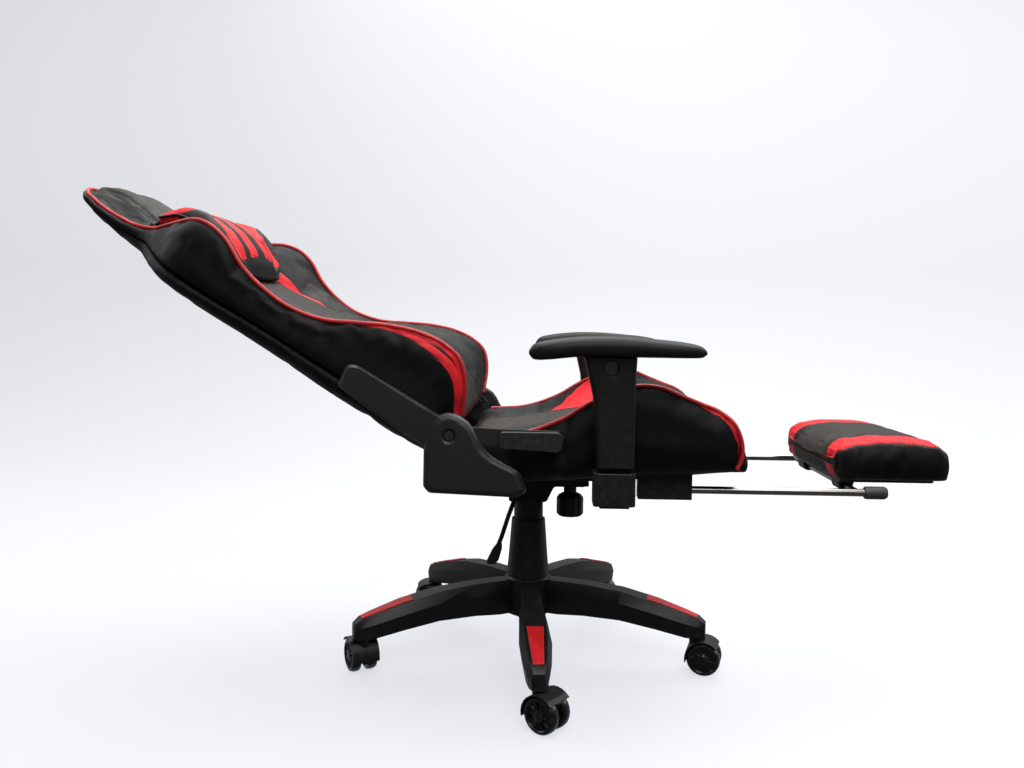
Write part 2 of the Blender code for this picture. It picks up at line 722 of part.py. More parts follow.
def back_panel():
    rings, pocket = [], []
    for share, inset, edge, _, rear in BACK_STATIONS:
        t = share * BACK_LENGTH
        half = BACK_HALF_WIDTH - inset
        high = back_split(share, edge, rear)
        section = [(0.0, rear), (0.6 * half, rear), (0.86 * half, rear + 0.12 * (high - rear)),
                   (0.955 * half, rear + 0.5 * (high - rear)), (0.975 * half, high), (0.0, high)]
        rings.append(mirrored([(x, -n, t) for x, n in section]))
        if 0.03 < share < 0.7:
            wide = FRAME_HALF_WIDTH + FRAME_TUBE_RADIUS + 0.003
            pocket.append([(x, -n, t) for x, n in rectangle(-wide, wide, rear + 0.0025, 0.15)])
    holes = [head_hole(side, HOLE_HALF_WIDTH) for _, side in SIDES]
    return cut(loft(rings), loft(pocket), together(holes))


def head_hole(side, half_width, low=-0.15, high=0.10, reach=HOLE_HALF_LENGTH):
    """A slanted rounded slot through the back, beside the head."""
    outline = [(-half_width, -reach), (half_width, -0.8 * reach), (0.75 * half_width, reach),
               (-half_width, reach)]
    outline = rounded([(side * (a + HOLE_ASIDE), b + HOLE_AT) for a, b in outline], 0.010, 3)
    return loft([[(x, -n, t) for x, t in outline] for n in (low, high)])


def hole_bezel(side):
    """The plastic liner of one slot."""
    share = HOLE_AT / BACK_LENGTH
    _, _, centre, rear = between(BACK_STATIONS, share)
    outer = head_hole(side, HOLE_HALF_WIDTH - GAP, rear - 0.002, centre - 0.0005, HOLE_HALF_LENGTH - GAP)
    inner = head_hole(side, HOLE_HALF_WIDTH - BEZEL_WALL, -0.2, 0.2, HOLE_HALF_LENGTH - BEZEL_WALL)
    return cut(outer, inner)


def back_frame():
    """The steel tube frame in the rear panel's pocket."""
    stations = [s for s in BACK_STATIONS if 0.06 < s[0] < 0.68]

    def level(share):
        return between(BACK_STATIONS, share)[3] + 0.0030 + FRAME_TUBE_RADIUS

    bars = []
    for _, side in SIDES:
        rings = []
        for share, *_ in stations:
            rings.append([(side * FRAME_HALF_WIDTH + 0.9 * FRAME_TUBE_RADIUS * math.cos(a),
                           -level(share) + 0.9 * FRAME_TUBE_RADIUS * math.sin(a), share * BACK_LENGTH)
                          for a in (2 * math.pi * k / 10 for k in range(10))])
        bars.append(loft(rings))
    for share in (0.10, 0.40, 0.64):
        bars.append(cylinder(0.75 * FRAME_TUBE_RADIUS,
                             (-FRAME_HALF_WIDTH, -level(share), share * BACK_LENGTH),
                             (FRAME_HALF_WIDTH, -level(share), share * BACK_LENGTH), 10))
    return joined(*bars)


def head_pillow():
    """A plump pad that rests on the upper back; its underside follows the cushion."""
    rings = []
    rows = ((0.0, 0.014, 0.62), (0.06, 0.034, 0.80), (0.18, 0.050, 0.94), (0.36, 0.059, 1.0),
            (0.55, 0.061, 1.0), (0.75, 0.054, 0.96), (0.90, 0.038, 0.86), (0.97, 0.023, 0.76),
            (1.0, 0.010, 0.62))
    for share, thick, width in rows:
        t = PILLOW_LOW + share * (PILLOW_HIGH - PILLOW_LOW)
        half = width * PILLOW_HALF_WIDTH
        low = back_surface(t, 0.0) + PILLOW_CLEAR
        aside = back_surface(t, 0.6 * half) + PILLOW_CLEAR
        rim = back_surface(t, half) + 2 * PILLOW_CLEAR
        section = [(0.0, low), (0.6 * half, aside), (0.92 * half, rim + 0.05 * thick),
                   (half, rim + 0.35 * thick), (0.90 * half, rim + 0.62 * thick),
                   (0.6 * half, low + 0.96 * thick), (0.0, low + thick)]
        rings.append(mirrored([(x, -n, t) for x, n in section]))
    return loft(rings)


def pillow_strap():
    """The elastic band between the pillow and the cushion, ending in the two slots."""
    t_low, t_high = HOLE_AT - STRAP_WIDTH / 2, HOLE_AT + STRAP_WIDTH / 2
    _, _, centre, _ = between(BACK_STATIONS, HOLE_AT / BACK_LENGTH)
    low = centre + 0.0018
    reach = HOLE_ASIDE - HOLE_HALF_WIDTH + BEZEL_WALL
    outline = [(x, t) for x, t in rectangle(-reach + 0.006, reach - 0.006, t_low, t_high)]
    return loft([[(x, -n, t) for x, t in outline] for n in (low, low + 0.0014)])


def build_back(back, finishes):
    piece("back_panel", back_panel(), finishes["leather"], back, local=True)
    piece("back_frame", back_frame(), finishes["steel_black"], back, local=True)
    piece("back_cushion", back_cushion(), finishes["leather"], back, local=True)
    for name, side in SIDES:
        piece(f"hole_bezel_{name}", hole_bezel(side), finishes["plastic"], back, local=True)
    piece("pillow_strap", pillow_strap(), finishes["webbing"], back, local=True)
    piece("head_pillow", head_pillow(), finishes["leather"], back, local=True)


# ---------------------------------------------------------------- arms


def arm_bracket(side):
    """A bent steel bar: under the seat, out past the cushion, and up inside the arm post."""
    rear, front = ARM_UPRIGHT_AT
    under = seat_bottom(rear) - GAP
    inner, low, thick = SEAT_HALF_WIDTH - 0.050, 0.3445, 0.007
    up_low, up_high = ARM_ASIDE - ARM_UPRIGHT_THICK / 2, ARM_ASIDE + ARM_UPRIGHT_THICK / 2
    top = 0.500
    outline = [(inner, low), (up_high, low), (up_high, top), (up_low, top), (up_low, low + thick),
               (SEAT_HALF_WIDTH - 0.012, low + thick), (SEAT_HALF_WIDTH - 0.012, under), (inner, under)]
    return cross_plate([(side * x, z) for x, z in outline], rear, front)


def arm_cup(side):
    """The moulded collar at the foot of the post."""
    low, high = 0.3519, 0.4030
    rear, front = 0.106, 0.171
    half = 0.0275
    outline = rounded(rectangle(ARM_ASIDE - half, ARM_ASIDE + half, rear, front), 0.009, 3)
    collar = loft([[(side * x, -u, z) for x, u in outline] for z in (low, high)])
    slot = rectangle(ARM_ASIDE - ARM_UPRIGHT_THICK / 2 - RUN, ARM_ASIDE + ARM_UPRIGHT_THICK / 2 + RUN,
                     ARM_UPRIGHT_AT[0] - RUN, ARM_UPRIGHT_AT[1] + RUN)
    slot = loft([[(side * x, -u, z) for x, u in slot] for z in (low - 0.01, high + 0.01)])
    return cut(collar, slot)


def button_at():
    return 0.131, 0.5640


def arm_post(side):
    """The hollow post that slides up and down on the bracket, flared under the pad."""
    half = 0.0235
    stations = ((0.4105, 0.1115, 0.1690, half), (0.455, 0.1095, 0.1690, half), (0.520, 0.1045, 0.1692, half),
                (0.555, 0.0965, 0.1695, half + 0.001), (0.5800, 0.0900, 0.1705, half + 0.004))
    rings = []
    for z, rear, front, wide in stations:
        outline = rounded(rectangle(ARM_ASIDE - wide, ARM_ASIDE + wide, rear, front), 0.010, 3)
        rings.append([(side * x, -u, z) for x, u in outline])
    slot = rectangle(ARM_ASIDE - ARM_UPRIGHT_THICK / 2 - RUN, ARM_ASIDE + ARM_UPRIGHT_THICK / 2 + RUN,
                     ARM_UPRIGHT_AT[0] - RUN, ARM_UPRIGHT_AT[1] + RUN)
    slot = loft([[(side * x, -u, z) for x, u in slot] for z in (0.38, 0.535)])
    u, z = button_at()
    outer = ARM_ASIDE + half
    pocket = cylinder(ARM_BUTTON_RADIUS + RUN, (side * (outer - 0.0095), -u, z),
                      (side * (outer + 0.01), -u, z), 24)
    return cut(loft(rings), slot, pocket)


def arm_button(side):
    """The release button, a half-moon that goes in by a few millimetres."""
    u, z = button_at()
    outer = ARM_ASIDE + 0.0235
    angles = [math.radians(a) for a in range(-150, 151, 20)]
    outline = [(u - ARM_BUTTON_RADIUS * math.cos(a), z + ARM_BUTTON_RADIUS * math.sin(a)) for a in angles]
    return side_plate(outline, side * (outer - 0.005), side * (outer + 0.0025))


def arm_pad(side):
    """The armrest's soft top, crowned and a little waisted."""
    rows = ((0.000, 0.55, 0.5875), (0.02, 0.80, 0.5965), (0.08, 0.97, 0.6060), (0.25, 1.00, 0.6110),
            (0.50, 0.94, 0.6125), (0.75, 1.00, 0.6080), (0.92, 0.96, 0.6030), (0.98, 0.78, 0.5970),
            (1.0, 0.55, 0.5905))
    rings = []
    for share, width, top in rows:
        u = ARM_PAD_REAR + share * (ARM_PAD_FRONT - ARM_PAD_REAR)
        half = width * ARM_PAD_HALF_WIDTH
        low = ARM_PAD_BOTTOM - 0.006 * max(0.0, 1.0 - share / 0.25)
        section = [(-0.82 * half, low), (0.82 * half, low), (half, low + 0.35 * (top - low)),
                   (0.97 * half, low + 0.7 * (top - low)), (0.78 * half, top - 0.002), (0.3 * half, top),
                   (-0.3 * half, top), (-0.78 * half, top - 0.002), (-0.97 * half, low + 0.7 * (top - low)),
                   (-half, low + 0.35 * (top - low))]
        rings.append([(side * (ARM_ASIDE + x), -u, z) for x, z in section])
    return loft(rings)


def build_arms(seat, finishes):
    for name, side in SIDES:
        slide = empty(f"arm_slide_{name}", seat, (side * ARM_ASIDE, -ARM_UPRIGHT_AT[0], 0.41))
        piece(f"arm_bracket_{name}", arm_bracket(side), finishes["steel_black"], seat)
        piece(f"arm_cup_{name}", arm_cup(side), finishes["plastic"], seat)
        piece(f"arm_post_{name}", arm_post(side), finishes["plastic"], slide)
        piece(f"arm_pad_{name}", arm_pad(side), finishes["pad"], slide)
        press = empty(f"arm_press_{name}", slide, (side * ARM_ASIDE, -button_at()[0], button_at()[1]))
        piece(f"arm_button_{name}", arm_button(side), finishes["plastic"], press)


# ---------------------------------------------------------------- footrest


def slide_block(side):
    rear, front = SLIDE_BLOCK
    half = 0.0135
    low = ROD_HEIGHT - 0.015
    outline = [(rear, low), (front, low), (front, seat_bottom(front) - GAP), (rear, seat_bottom(rear) - GAP)]
    block = side_plate(outline, side * (ROD_ASIDE - half), side * (ROD_ASIDE + half))
    bore = cylinder(ROD_RADIUS + RUN, (side * ROD_ASIDE, -rear + 0.02, ROD_HEIGHT),
                    (side * ROD_ASIDE, -front - 0.02, ROD_HEIGHT), 16)
    return cut(block, bore)


def footrest_rods():
    """Two steel rods and the cross rod that the pad turns on."""
    front = CAP_REAR - GAP
    rods = [cylinder(ROD_RADIUS, (side * ROD_ASIDE, -ROD_REAR, ROD_HEIGHT),
                     (side * ROD_ASIDE, -front, ROD_HEIGHT), 16) for _, side in SIDES]
    cross = cylinder(0.0052, (-ROD_ASIDE, -CROSSBAR_AT, ROD_HEIGHT),
                     (ROD_ASIDE, -CROSSBAR_AT, ROD_HEIGHT), 16)
    return joined(rods[0], cross, rods[1])


def rod_cap(side):
    """The moulded end piece on one rod."""
    length = CAP_FRONT - CAP_REAR
    profile = [(0.0095, 0.0), (0.0108, 0.003), (0.0108, length - 0.005), (0.0085, length)]
    mesh = turned(profile, 20)
    turn = Matrix.Rotation(math.radians(90), 4, "X")
    return moved(mesh, Matrix.Translation((side * ROD_ASIDE, -CAP_REAR, ROD_HEIGHT)) @ turn)


def pad_board():
    """The board under the foot pad and the two eyes that turn on the cross rod."""
    low, high = FOOT_PAD_BOTTOM - 0.005, FOOT_PAD_BOTTOM - GAP
    board = flat_plate(rounded(rectangle(-0.150, 0.150, FOOT_PAD_REAR + 0.008, FOOT_PAD_FRONT - 0.02), 0.01),
                       low, high)
    eyes = []
    for _, side in SIDES:
        eyes.append(side_plate(
            rounded([(CROSSBAR_AT - 0.010, ROD_HEIGHT - 0.009, 0.008),
                     (CROSSBAR_AT + 0.010, ROD_HEIGHT - 0.009, 0.008),
                     (CROSSBAR_AT + 0.016, low + 0.001, 0.001),
                     (CROSSBAR_AT - 0.013, low + 0.001, 0.001)], 0.004),
            side * 0.085, side * 0.125))
    hole = cylinder(0.0052 + RUN, (-0.2, -CROSSBAR_AT, ROD_HEIGHT), (0.2, -CROSSBAR_AT, ROD_HEIGHT), 16)
    return cut(joined(board, *eyes), hole)


def footrest_pad():
    rows = ((0.000, 0.86, 0.040), (0.03, 0.95, 0.054), (0.12, 1.00, 0.0635), (0.35, 1.0, 0.0670),
            (0.65, 1.0, 0.0665), (0.88, 1.0, 0.0620), (0.97, 0.95, 0.050), (1.0, 0.86, 0.034))
    rings = []
    for share, width, thick in rows:
        u = FOOT_PAD_REAR + share * (FOOT_PAD_FRONT - FOOT_PAD_REAR)
        half = width * FOOT_PAD_HALF_WIDTH
        low = FOOT_PAD_BOTTOM + (0.008 if share in (0.0, 1.0) else 0.0)
        section = [(0.0, low), (0.93 * half, low), (0.985 * half, low + 0.15 * thick),
                   (half, low + 0.5 * thick), (0.975 * half, low + 0.85 * thick), (0.90 * half, low + thick),
                   (0.5 * half, low + thick), (0.0, low + thick)]
        rings.append(mirrored([(x, -u, z) for x, z in section]))
    return loft(rings)


def build_footrest(seat, finishes):
    slide = empty("footrest_slide", seat, (0, -ROD_REAR, ROD_HEIGHT))
    flip = empty("footrest_flip", slide, (0, -CROSSBAR_AT, ROD_HEIGHT))
    piece("footrest_rods", footrest_rods(), finishes["steel"], slide)
    for name, side in SIDES:
        piece(f"slide_block_{name}", slide_block(side), finishes["plastic"], seat)
        piece(f"rod_cap_{name}", rod_cap(side), finishes["cap"], slide)
    piece("footrest_board", pad_board(), finishes["plastic"], flip)
    piece("footrest_pad", footrest_pad(), finishes["leather"], flip)


# ---------------------------------------------------------------- the chair


def make_finishes():
    return {
        "nylon": material("nylon", (0.012, 0.012, 0.013), 0.42),
        "plastic": material("plastic", (0.030, 0.032, 0.034), 0.55),
        "tyre": material("tyre", (0.010, 0.010, 0.011), 0.35),
        "pad": material("arm_pad", (0.020, 0.021, 0.022), 0.45),
        "cap": material("rod_cap", (0.055, 0.058, 0.062), 0.50),
        "steel": material("steel", (0.62, 0.63, 0.65), 0.22, 1.0),
        "steel_black": material("steel_black", (0.015, 0.015, 0.016), 0.45, 0.3),
        "leather": material("leather", (0.022, 0.022, 0.023), 0.48),
        "red_trim": material("red_trim", (0.62, 0.03, 0.035), 0.5),
        "webbing": material("webbing", (0.015, 0.015, 0.016), 0.9),
    }


def centre_over_floor(root):
    """Moves the chair so that the origin is under the middle of its bounding box."""
    bpy.context.view_layer.update()
    corners = [obj.matrix_world @ vertex.co for obj in bpy.data.objects if obj.type == "MESH"
               for vertex in obj.data.vertices]
    for axis in (0, 1):
        values = [corner[axis] for corner in corners]
        root.location[axis] = -(min(values) + max(values)) / 2
    root.location[2] = -min(corner[2] for corner in corners)


def build():
    for obj in list(bpy.data.objects):
        bpy.data.objects.remove(obj)
    finishes = make_finishes()
    root = bpy.data.objects.new("chair", None)
    bpy.context.scene.collection.objects.link(root)
    build_base(root, finishes)

    lift = empty("lift", root, (0, 0, CYLINDER_TOP))
    build_column(lift, finishes)
    swivel = empty("swivel", lift, (0, 0, COLUMN_TOP))
    piece("mech_housing", mech_housing(), finishes["steel_black"], swivel)
    knob = empty("knob_axis", swivel, (0, -KNOB_AT, 0))
    piece("tension_knob", tension_knob(), finishes["plastic"], knob, local=True)

    seat = empty("tilt_axis", swivel, (0, -TILT_AXIS[0], TILT_AXIS[1]))
    piece("mech_plate", mech_plate(), finishes["steel_black"], seat)
    lever = empty("height_lever_axis", seat, (-0.050, 0.006, 0.3435))
    piece("height_lever", height_lever(), finishes["steel_black"], lever)
    piece("seat_pan", seat_pan(), finishes["plastic"], seat)
    piece("seat_cushion", seat_cushion(), finishes["leather"], seat)

    back = empty("recline_axis", seat, (0, -HINGE_AT[0], HINGE_AT[1]), -RECLINE)
    lever_pivot = empty("recline_lever_axis", seat, (0, -HINGE_AT[0], HINGE_AT[1]))
    build_hinges(seat, back, lever_pivot, finishes)
    build_back(back, finishes)
    build_arms(seat, finishes)
    build_footrest(seat, finishes)
    centre_over_floor(root)


build()
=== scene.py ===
"""A reclining gaming chair with its footrest out: upholstery, seams, plastics, steel and studio."""

import json
import math

import bmesh
import bpy
import numpy as np
from mathutils import Matrix, Vector
from mathutils.kdtree import KDTree


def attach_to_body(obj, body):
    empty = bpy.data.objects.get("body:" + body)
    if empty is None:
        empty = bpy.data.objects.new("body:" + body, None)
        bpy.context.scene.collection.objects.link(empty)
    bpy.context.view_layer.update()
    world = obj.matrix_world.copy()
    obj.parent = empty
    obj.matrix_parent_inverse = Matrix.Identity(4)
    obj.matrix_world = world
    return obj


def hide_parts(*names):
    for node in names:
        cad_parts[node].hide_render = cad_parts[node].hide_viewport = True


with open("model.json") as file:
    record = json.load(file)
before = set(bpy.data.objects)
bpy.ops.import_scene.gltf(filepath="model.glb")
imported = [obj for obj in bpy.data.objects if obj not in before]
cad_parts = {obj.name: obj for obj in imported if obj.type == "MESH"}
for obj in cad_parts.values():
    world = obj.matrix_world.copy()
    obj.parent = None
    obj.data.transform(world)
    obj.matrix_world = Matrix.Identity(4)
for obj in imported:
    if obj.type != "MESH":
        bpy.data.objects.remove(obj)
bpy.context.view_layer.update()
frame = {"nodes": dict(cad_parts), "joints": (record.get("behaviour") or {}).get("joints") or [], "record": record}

# Metres throughout. x runs from the sitter's right to the left, u forwards from the column, z up.
SIDES = (("right", -1), ("left", 1))
RECLINE = math.radians(53.8)  # the back's lean from upright
BACK_PIPING, SEAT_PIPING, PILLOW_WELT = 0.0036, 0.0033, 0.0022  # radii
ON_SEAM = 1e-6  # a point this close to a whole seam number lies on that seam


# ---------------------------------------------------------------- drawing


def through(knots, values, at):
    """A smooth curve through the values at their knots, read off at other places."""
    knots, at = np.asarray(knots, float), np.atleast_1d(np.asarray(at, float))
    values = np.asarray(values, float)
    flat = values.ndim == 1
    values = values[:, None] if flat else values
    step = np.diff(knots)
    slope = np.diff(values, axis=0) / step[:, None]
    tangent = np.empty_like(values)
    tangent[0], tangent[-1] = slope[0], slope[-1]
    before, after = step[:-1, None], step[1:, None]
    tangent[1:-1] = (slope[:-1] * after + slope[1:] * before) / (before + after)
    i = np.clip(np.searchsorted(knots, at) - 1, 0, len(step) - 1)
    s, h = ((at - knots[i]) / step[i])[:, None], step[i][:, None]
    curve = ((1 + 2 * s) * (1 - s) ** 2 * values[i] + s * (1 - s) ** 2 * h * tangent[i]
             + s * s * (3 - 2 * s) * values[i + 1] + s * s * (s - 1) * h * tangent[i + 1])
    return curve[:, 0] if flat else curve


def spread(points, count, lean=1.0):
    """Points placed along a smooth line through a few, evenly or crowded towards its end."""
    points = np.asarray(points, float)
    along = np.concatenate([[0], np.cumsum(np.linalg.norm(np.diff(points, axis=0), axis=1))])
    share = 1 - (1 - np.linspace(0, 1, count)) ** lean
    return through(along, points, share * along[-1])


def rows_at(*runs):
    """Shares of a length in runs of (from, to, how many)."""
    return np.concatenate([np.linspace(*run) for run in runs])


def fresh_object(name, vertices, faces, smooth=True):
    mesh = bpy.data.meshes.new(name)
    mesh.from_pydata([tuple(v) for v in vertices], [], faces)
    mesh.validate()
    if smooth:
        mesh.shade_smooth()
    made = bpy.data.objects.new(name, mesh)
    bpy.context.scene.collection.objects.link(made)
    return made


def turn_outward(made):
    shape = bmesh.new()
    shape.from_mesh(made.data)
    bmesh.ops.recalc_face_normals(shape, faces=shape.faces)
    shape.to_mesh(made.data)
    shape.free()


def attach(piece, body, slot, node=None):
    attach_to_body(piece, body)
    if node:
        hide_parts(node)


def store(piece, name, values):
    layer = piece.data.attributes.new(name, "FLOAT", "POINT")
    layer.data.foreach_set("value", np.asarray(values, np.float32).ravel())


def coordinates(piece):
    flat = np.empty(len(piece.data.vertices) * 3, np.float32)
    piece.data.vertices.foreach_get("co", flat)
    return flat.reshape(-1, 3).astype(float)


def normals(piece):
    flat = np.empty(len(piece.data.vertices) * 3, np.float32)
    piece.data.vertices.foreach_get("normal", flat)
    return flat.reshape(-1, 3).astype(float)


def set_coordinates(piece, points):
    piece.data.vertices.foreach_set("co", np.asarray(points, np.float32).ravel())
    piece.data.update()


def cord_along(name, points, radius, material, closed=False, sides=3):
    """A round welt sewn along a line of points."""
    curve = bpy.data.curves.new(name, "CURVE")
    curve.dimensions = "3D"
    curve.bevel_depth, curve.bevel_resolution, curve.use_fill_caps = radius, sides, True
    line = curve.splines.new("POLY")
    line.points.add(len(points) - 1)
    for point, place in zip(line.points, points):
        point.co = (*place, 1)
    line.use_cyclic_u = closed
    made = bpy.data.objects.new(name, curve)
    bpy.context.scene.collection.objects.link(made)
    curve.materials.append(material)
    return made


STITCH_PITCH, STITCH_LENGTH, STITCH_RADIUS = 0.0062, 0.0040, 0.00045
STITCH_LIFT, STITCH_SIDES = 0.0006, 6
# a stitch's rings: place along it as a share of its length, lift and thickness in radii
STITCH_RINGS = ((-0.5, -0.6, 0.5), (-0.3, 0.5, 1.0), (0.3, 0.5, 1.0), (0.5, -0.6, 0.5))


def thread(name, lines, material):
    """Rows of single stitches; each line is points with the outward normals there."""
    length, radius, around = STITCH_LENGTH, STITCH_RADIUS, STITCH_SIDES
    vertices, faces = [], []
    for points, outward in lines:
        points, outward = np.asarray(points), np.asarray(outward)
        along = np.concatenate([[0], np.cumsum(np.linalg.norm(np.diff(points, axis=0), axis=1))])
        for at in np.arange(STITCH_PITCH, along[-1] - STITCH_PITCH, STITCH_PITCH):
            low, middle, high = (np.array([np.interp(a, along, points[:, k]) for k in range(3)])
                                 for a in (at - length / 2, at, at + length / 2))
            up = Vector([np.interp(at, along, outward[:, k]) for k in range(3)]).normalized()
            run = Vector(high - low).normalized()
            aside = run.cross(up).normalized()
            first = len(vertices)
            for share, lift, thick in STITCH_RINGS:
                centre = Vector(middle) + run * share * length + up * lift * radius
                for k in range(around):
                    turn = 2 * math.pi * k / around
                    out = math.cos(turn) * aside + math.sin(turn) * up
                    vertices.append(centre + thick * radius * out)
            for ring in range(len(STITCH_RINGS) - 1):
                for k in range(around):
                    a, b = (first + around * ring + (k + step) % around for step in (0, 1))
                    faces.append((a, b, b + around, a + around))
            faces.append(tuple(range(first + around - 1, first - 1, -1)))
            faces.append(tuple(range(len(vertices) - around, len(vertices))))
    made = fresh_object(name, vertices, faces)
    turn_outward(made)
    made.data.materials.append(material)
    return made


# ---------------------------------------------------------------- shader groups


class Nodes:
    """Short words for wiring one node tree."""

    def __init__(self, tree):
        self.tree = tree

    def add(self, kind, inputs=None, **settings):
        node = self.tree.nodes.new(kind)
        for key, value in settings.items():
            setattr(node, key, value)
        for key, value in (inputs or {}).items():
            self.wire(value, node.inputs[key])
        return node

    def wire(self, value, socket):
        if isinstance(value, bpy.types.NodeSocket):
            self.tree.links.new(value, socket)
        else:
            socket.default_value = value

    def sum(self, operation, *values, clamp=False):
        node = self.add("ShaderNodeMath", operation=operation, use_clamp=clamp)
        for value, socket in zip(values, node.inputs):
            self.wire(value, socket)
        return node.outputs[0]

    def range(self, value, low, high, to_low=0.0, to_high=1.0, smooth=True):
        ease = "SMOOTHSTEP" if smooth else "LINEAR"
        node = self.add("ShaderNodeMapRange", interpolation_type=ease)
        for key, given in zip(("Value", "From Min", "From Max", "To Min", "To Max"),
                              (value, low, high, to_low, to_high)):
            self.wire(given, node.inputs[key])
        return node.outputs[0]

    def mix(self, share, first, second):
        node = self.add("ShaderNodeMix", data_type="RGBA")
        for socket, given in ((node.inputs[0], share), (node.inputs[6], first),
                              (node.inputs[7], second)):
            self.wire(given, socket)
        return node.outputs[2]

    def noise(self, scale, detail=3.0, rough=0.5, vector=None):
        node = self.add("ShaderNodeTexNoise",
                        {"Scale": scale, "Detail": detail, "Roughness": rough})
        self.wire(vector or self.add("ShaderNodeTexCoord").outputs["Object"], node.inputs["Vector"])
        return node.outputs["Fac"]


def group(name, inputs, outputs, draw):
    """A shader node group with named sockets, drawn once."""
    tree = bpy.data.node_groups.new(name, "ShaderNodeTree")
    for label, kind, value in inputs:
        socket = tree.interface.new_socket(label, in_out="INPUT", socket_type=kind)
        if value is not None:
            socket.default_value = value
    for label, kind in outputs:
        tree.interface.new_socket(label, in_out="OUTPUT", socket_type=kind)
    wiring = Nodes(tree)
    given, result = wiring.add("NodeGroupInput"), wiring.add("NodeGroupOutput")
    for label, socket in draw(wiring, given.outputs).items():
        wiring.wire(socket, result.inputs[label])
    return tree


FLOAT, COLOUR = "NodeSocketFloat", "NodeSocketColor"


def leather_grain():
    def draw(n, given):
        place = n.add("ShaderNodeTexCoord").outputs["Object"]
        cells = n.add("ShaderNodeTexVoronoi",
                      {"Vector": place, "Scale": given["Scale"], "Randomness": 0.9},
                      feature="DISTANCE_TO_EDGE")
        pebble = n.range(cells.outputs["Distance"], 0.0, 0.22)
        fine = n.noise(2600.0, 2.0, 0.6)
        soft = n.noise(38.0, 3.0, 0.55)
        height = n.sum("MULTIPLY_ADD", fine, 0.25, pebble)
        return {"Height": n.sum("MULTIPLY_ADD", soft, given["Crease"], height), "Patch": soft,
                "Pebble": pebble}
    return group("Leather grain", (("Scale", FLOAT, 720.0), ("Crease", FLOAT, 1.2)),
                 (("Height", FLOAT), ("Patch", FLOAT), ("Pebble", FLOAT)), draw)


def sewn_panel():
    def draw(n, given):
        inside = n.range(given["Distance"], -0.0004, 0.0004)
        away = n.sum("ABSOLUTE", given["Seam"])
        dip = n.range(away, 0.0, 0.0042)
        pull = n.noise(150.0, 2.0, 0.5)
        pucker = n.sum("MULTIPLY", n.range(away, 0.004, 0.022, 1.0, 0.0), pull)
        return {"Inside": inside, "Height": n.sum("MULTIPLY_ADD", pucker, 0.35, dip),
                "Shade": n.range(away, 0.0, 0.0024, 0.45, 1.0)}
    return group("Sewn panel", (("Distance", FLOAT, -1.0), ("Seam", FLOAT, 1.0)),
                 (("Inside", FLOAT), ("Height", FLOAT), ("Shade", FLOAT)), draw)


def handling_wear():
    def draw(n, given):
        bend = n.add("ShaderNodeNewGeometry").outputs["Pointiness"]
        edge = n.range(bend, 0.505, 0.56)
        scuffed = n.range(n.noise(95.0, 5.0, 0.7), 0.42, 0.72)
        smear = n.noise(14.0, 4.0, 0.6)
        return {"Edge": n.sum("MULTIPLY", n.sum("MULTIPLY", edge, scuffed), given["Amount"]),
                "Smear": smear}
    return group("Handling wear", (("Amount", FLOAT, 0.6),), (("Edge", FLOAT), ("Smear", FLOAT)),
                 draw)


def settled_dust():
    def draw(n, given):
        facing = n.add("ShaderNodeSeparateXYZ",
                       {0: n.add("ShaderNodeNewGeometry").outputs["Normal"]})
        top = n.range(facing.outputs[2], 0.35, 0.95)
        patchy = n.range(n.noise(60.0, 4.0, 0.65), 0.35, 0.75)
        return {"Mask": n.sum("MULTIPLY", n.sum("MULTIPLY", top, patchy), given["Amount"])}
    return group("Settled dust", (("Amount", FLOAT, 0.05),), (("Mask", FLOAT),), draw)


def moulded_grain():
    def draw(n, given):
        spark = n.noise(given["Scale"], 2.0, 0.5)
        flow = n.noise(26.0, 3.0, 0.5)
        return {"Height": n.sum("MULTIPLY_ADD", flow, 0.6, spark), "Flow": flow}
    return group("Moulded grain", (("Scale", FLOAT, 900.0),), (("Height", FLOAT), ("Flow", FLOAT)),
                 draw)


def woven_band():
    def draw(n, given):
        place = n.add("ShaderNodeTexCoord").outputs["Object"]
        waves = []
        for direction in ("X", "Y"):
            wave = n.add("ShaderNodeTexWave",
                         {"Vector": place, "Scale": given["Scale"], "Distortion": 0.4},
                         bands_direction=direction)
            waves.append(wave.outputs["Fac"])
        weave = n.sum("MAXIMUM", *waves)
        return {"Height": weave, "Thread": n.sum("MULTIPLY", *waves)}
    return group("Woven band", (("Scale", FLOAT, 260.0),), (("Height", FLOAT), ("Thread", FLOAT)),
                 draw)


# ---------------------------------------------------------------- materials


def material(name, draw, **constants):
    """A Principled material: constants go on the shader's own sockets, draw wires the rest."""
    made = bpy.data.materials.new(name)
    made.use_nodes = True
    tree = made.node_tree
    tree.nodes.clear()
    n = Nodes(tree)
    shader = n.add("ShaderNodeBsdfPrincipled")
    out = n.add("ShaderNodeOutputMaterial")
    tree.links.new(shader.outputs[0], out.inputs[0])
    for key, value in constants.items():
        shader.inputs[key.replace("_", " ")].default_value = value
    for key, value in draw(n).items():
        n.wire(value, shader.inputs[key])
    return made


def placed(n, tree, **values):
    node = n.add("ShaderNodeGroup", node_tree=tree)
    for key, value in values.items():
        n.wire(value, node.inputs[key])
    return node.outputs


def bumped(n, height, strength, distance, under=None):
    node = n.add("ShaderNodeBump", {"Strength": strength, "Distance": distance, "Height": height})
    if under is not None:
        n.wire(under, node.inputs["Normal"])
    return node.outputs[0]


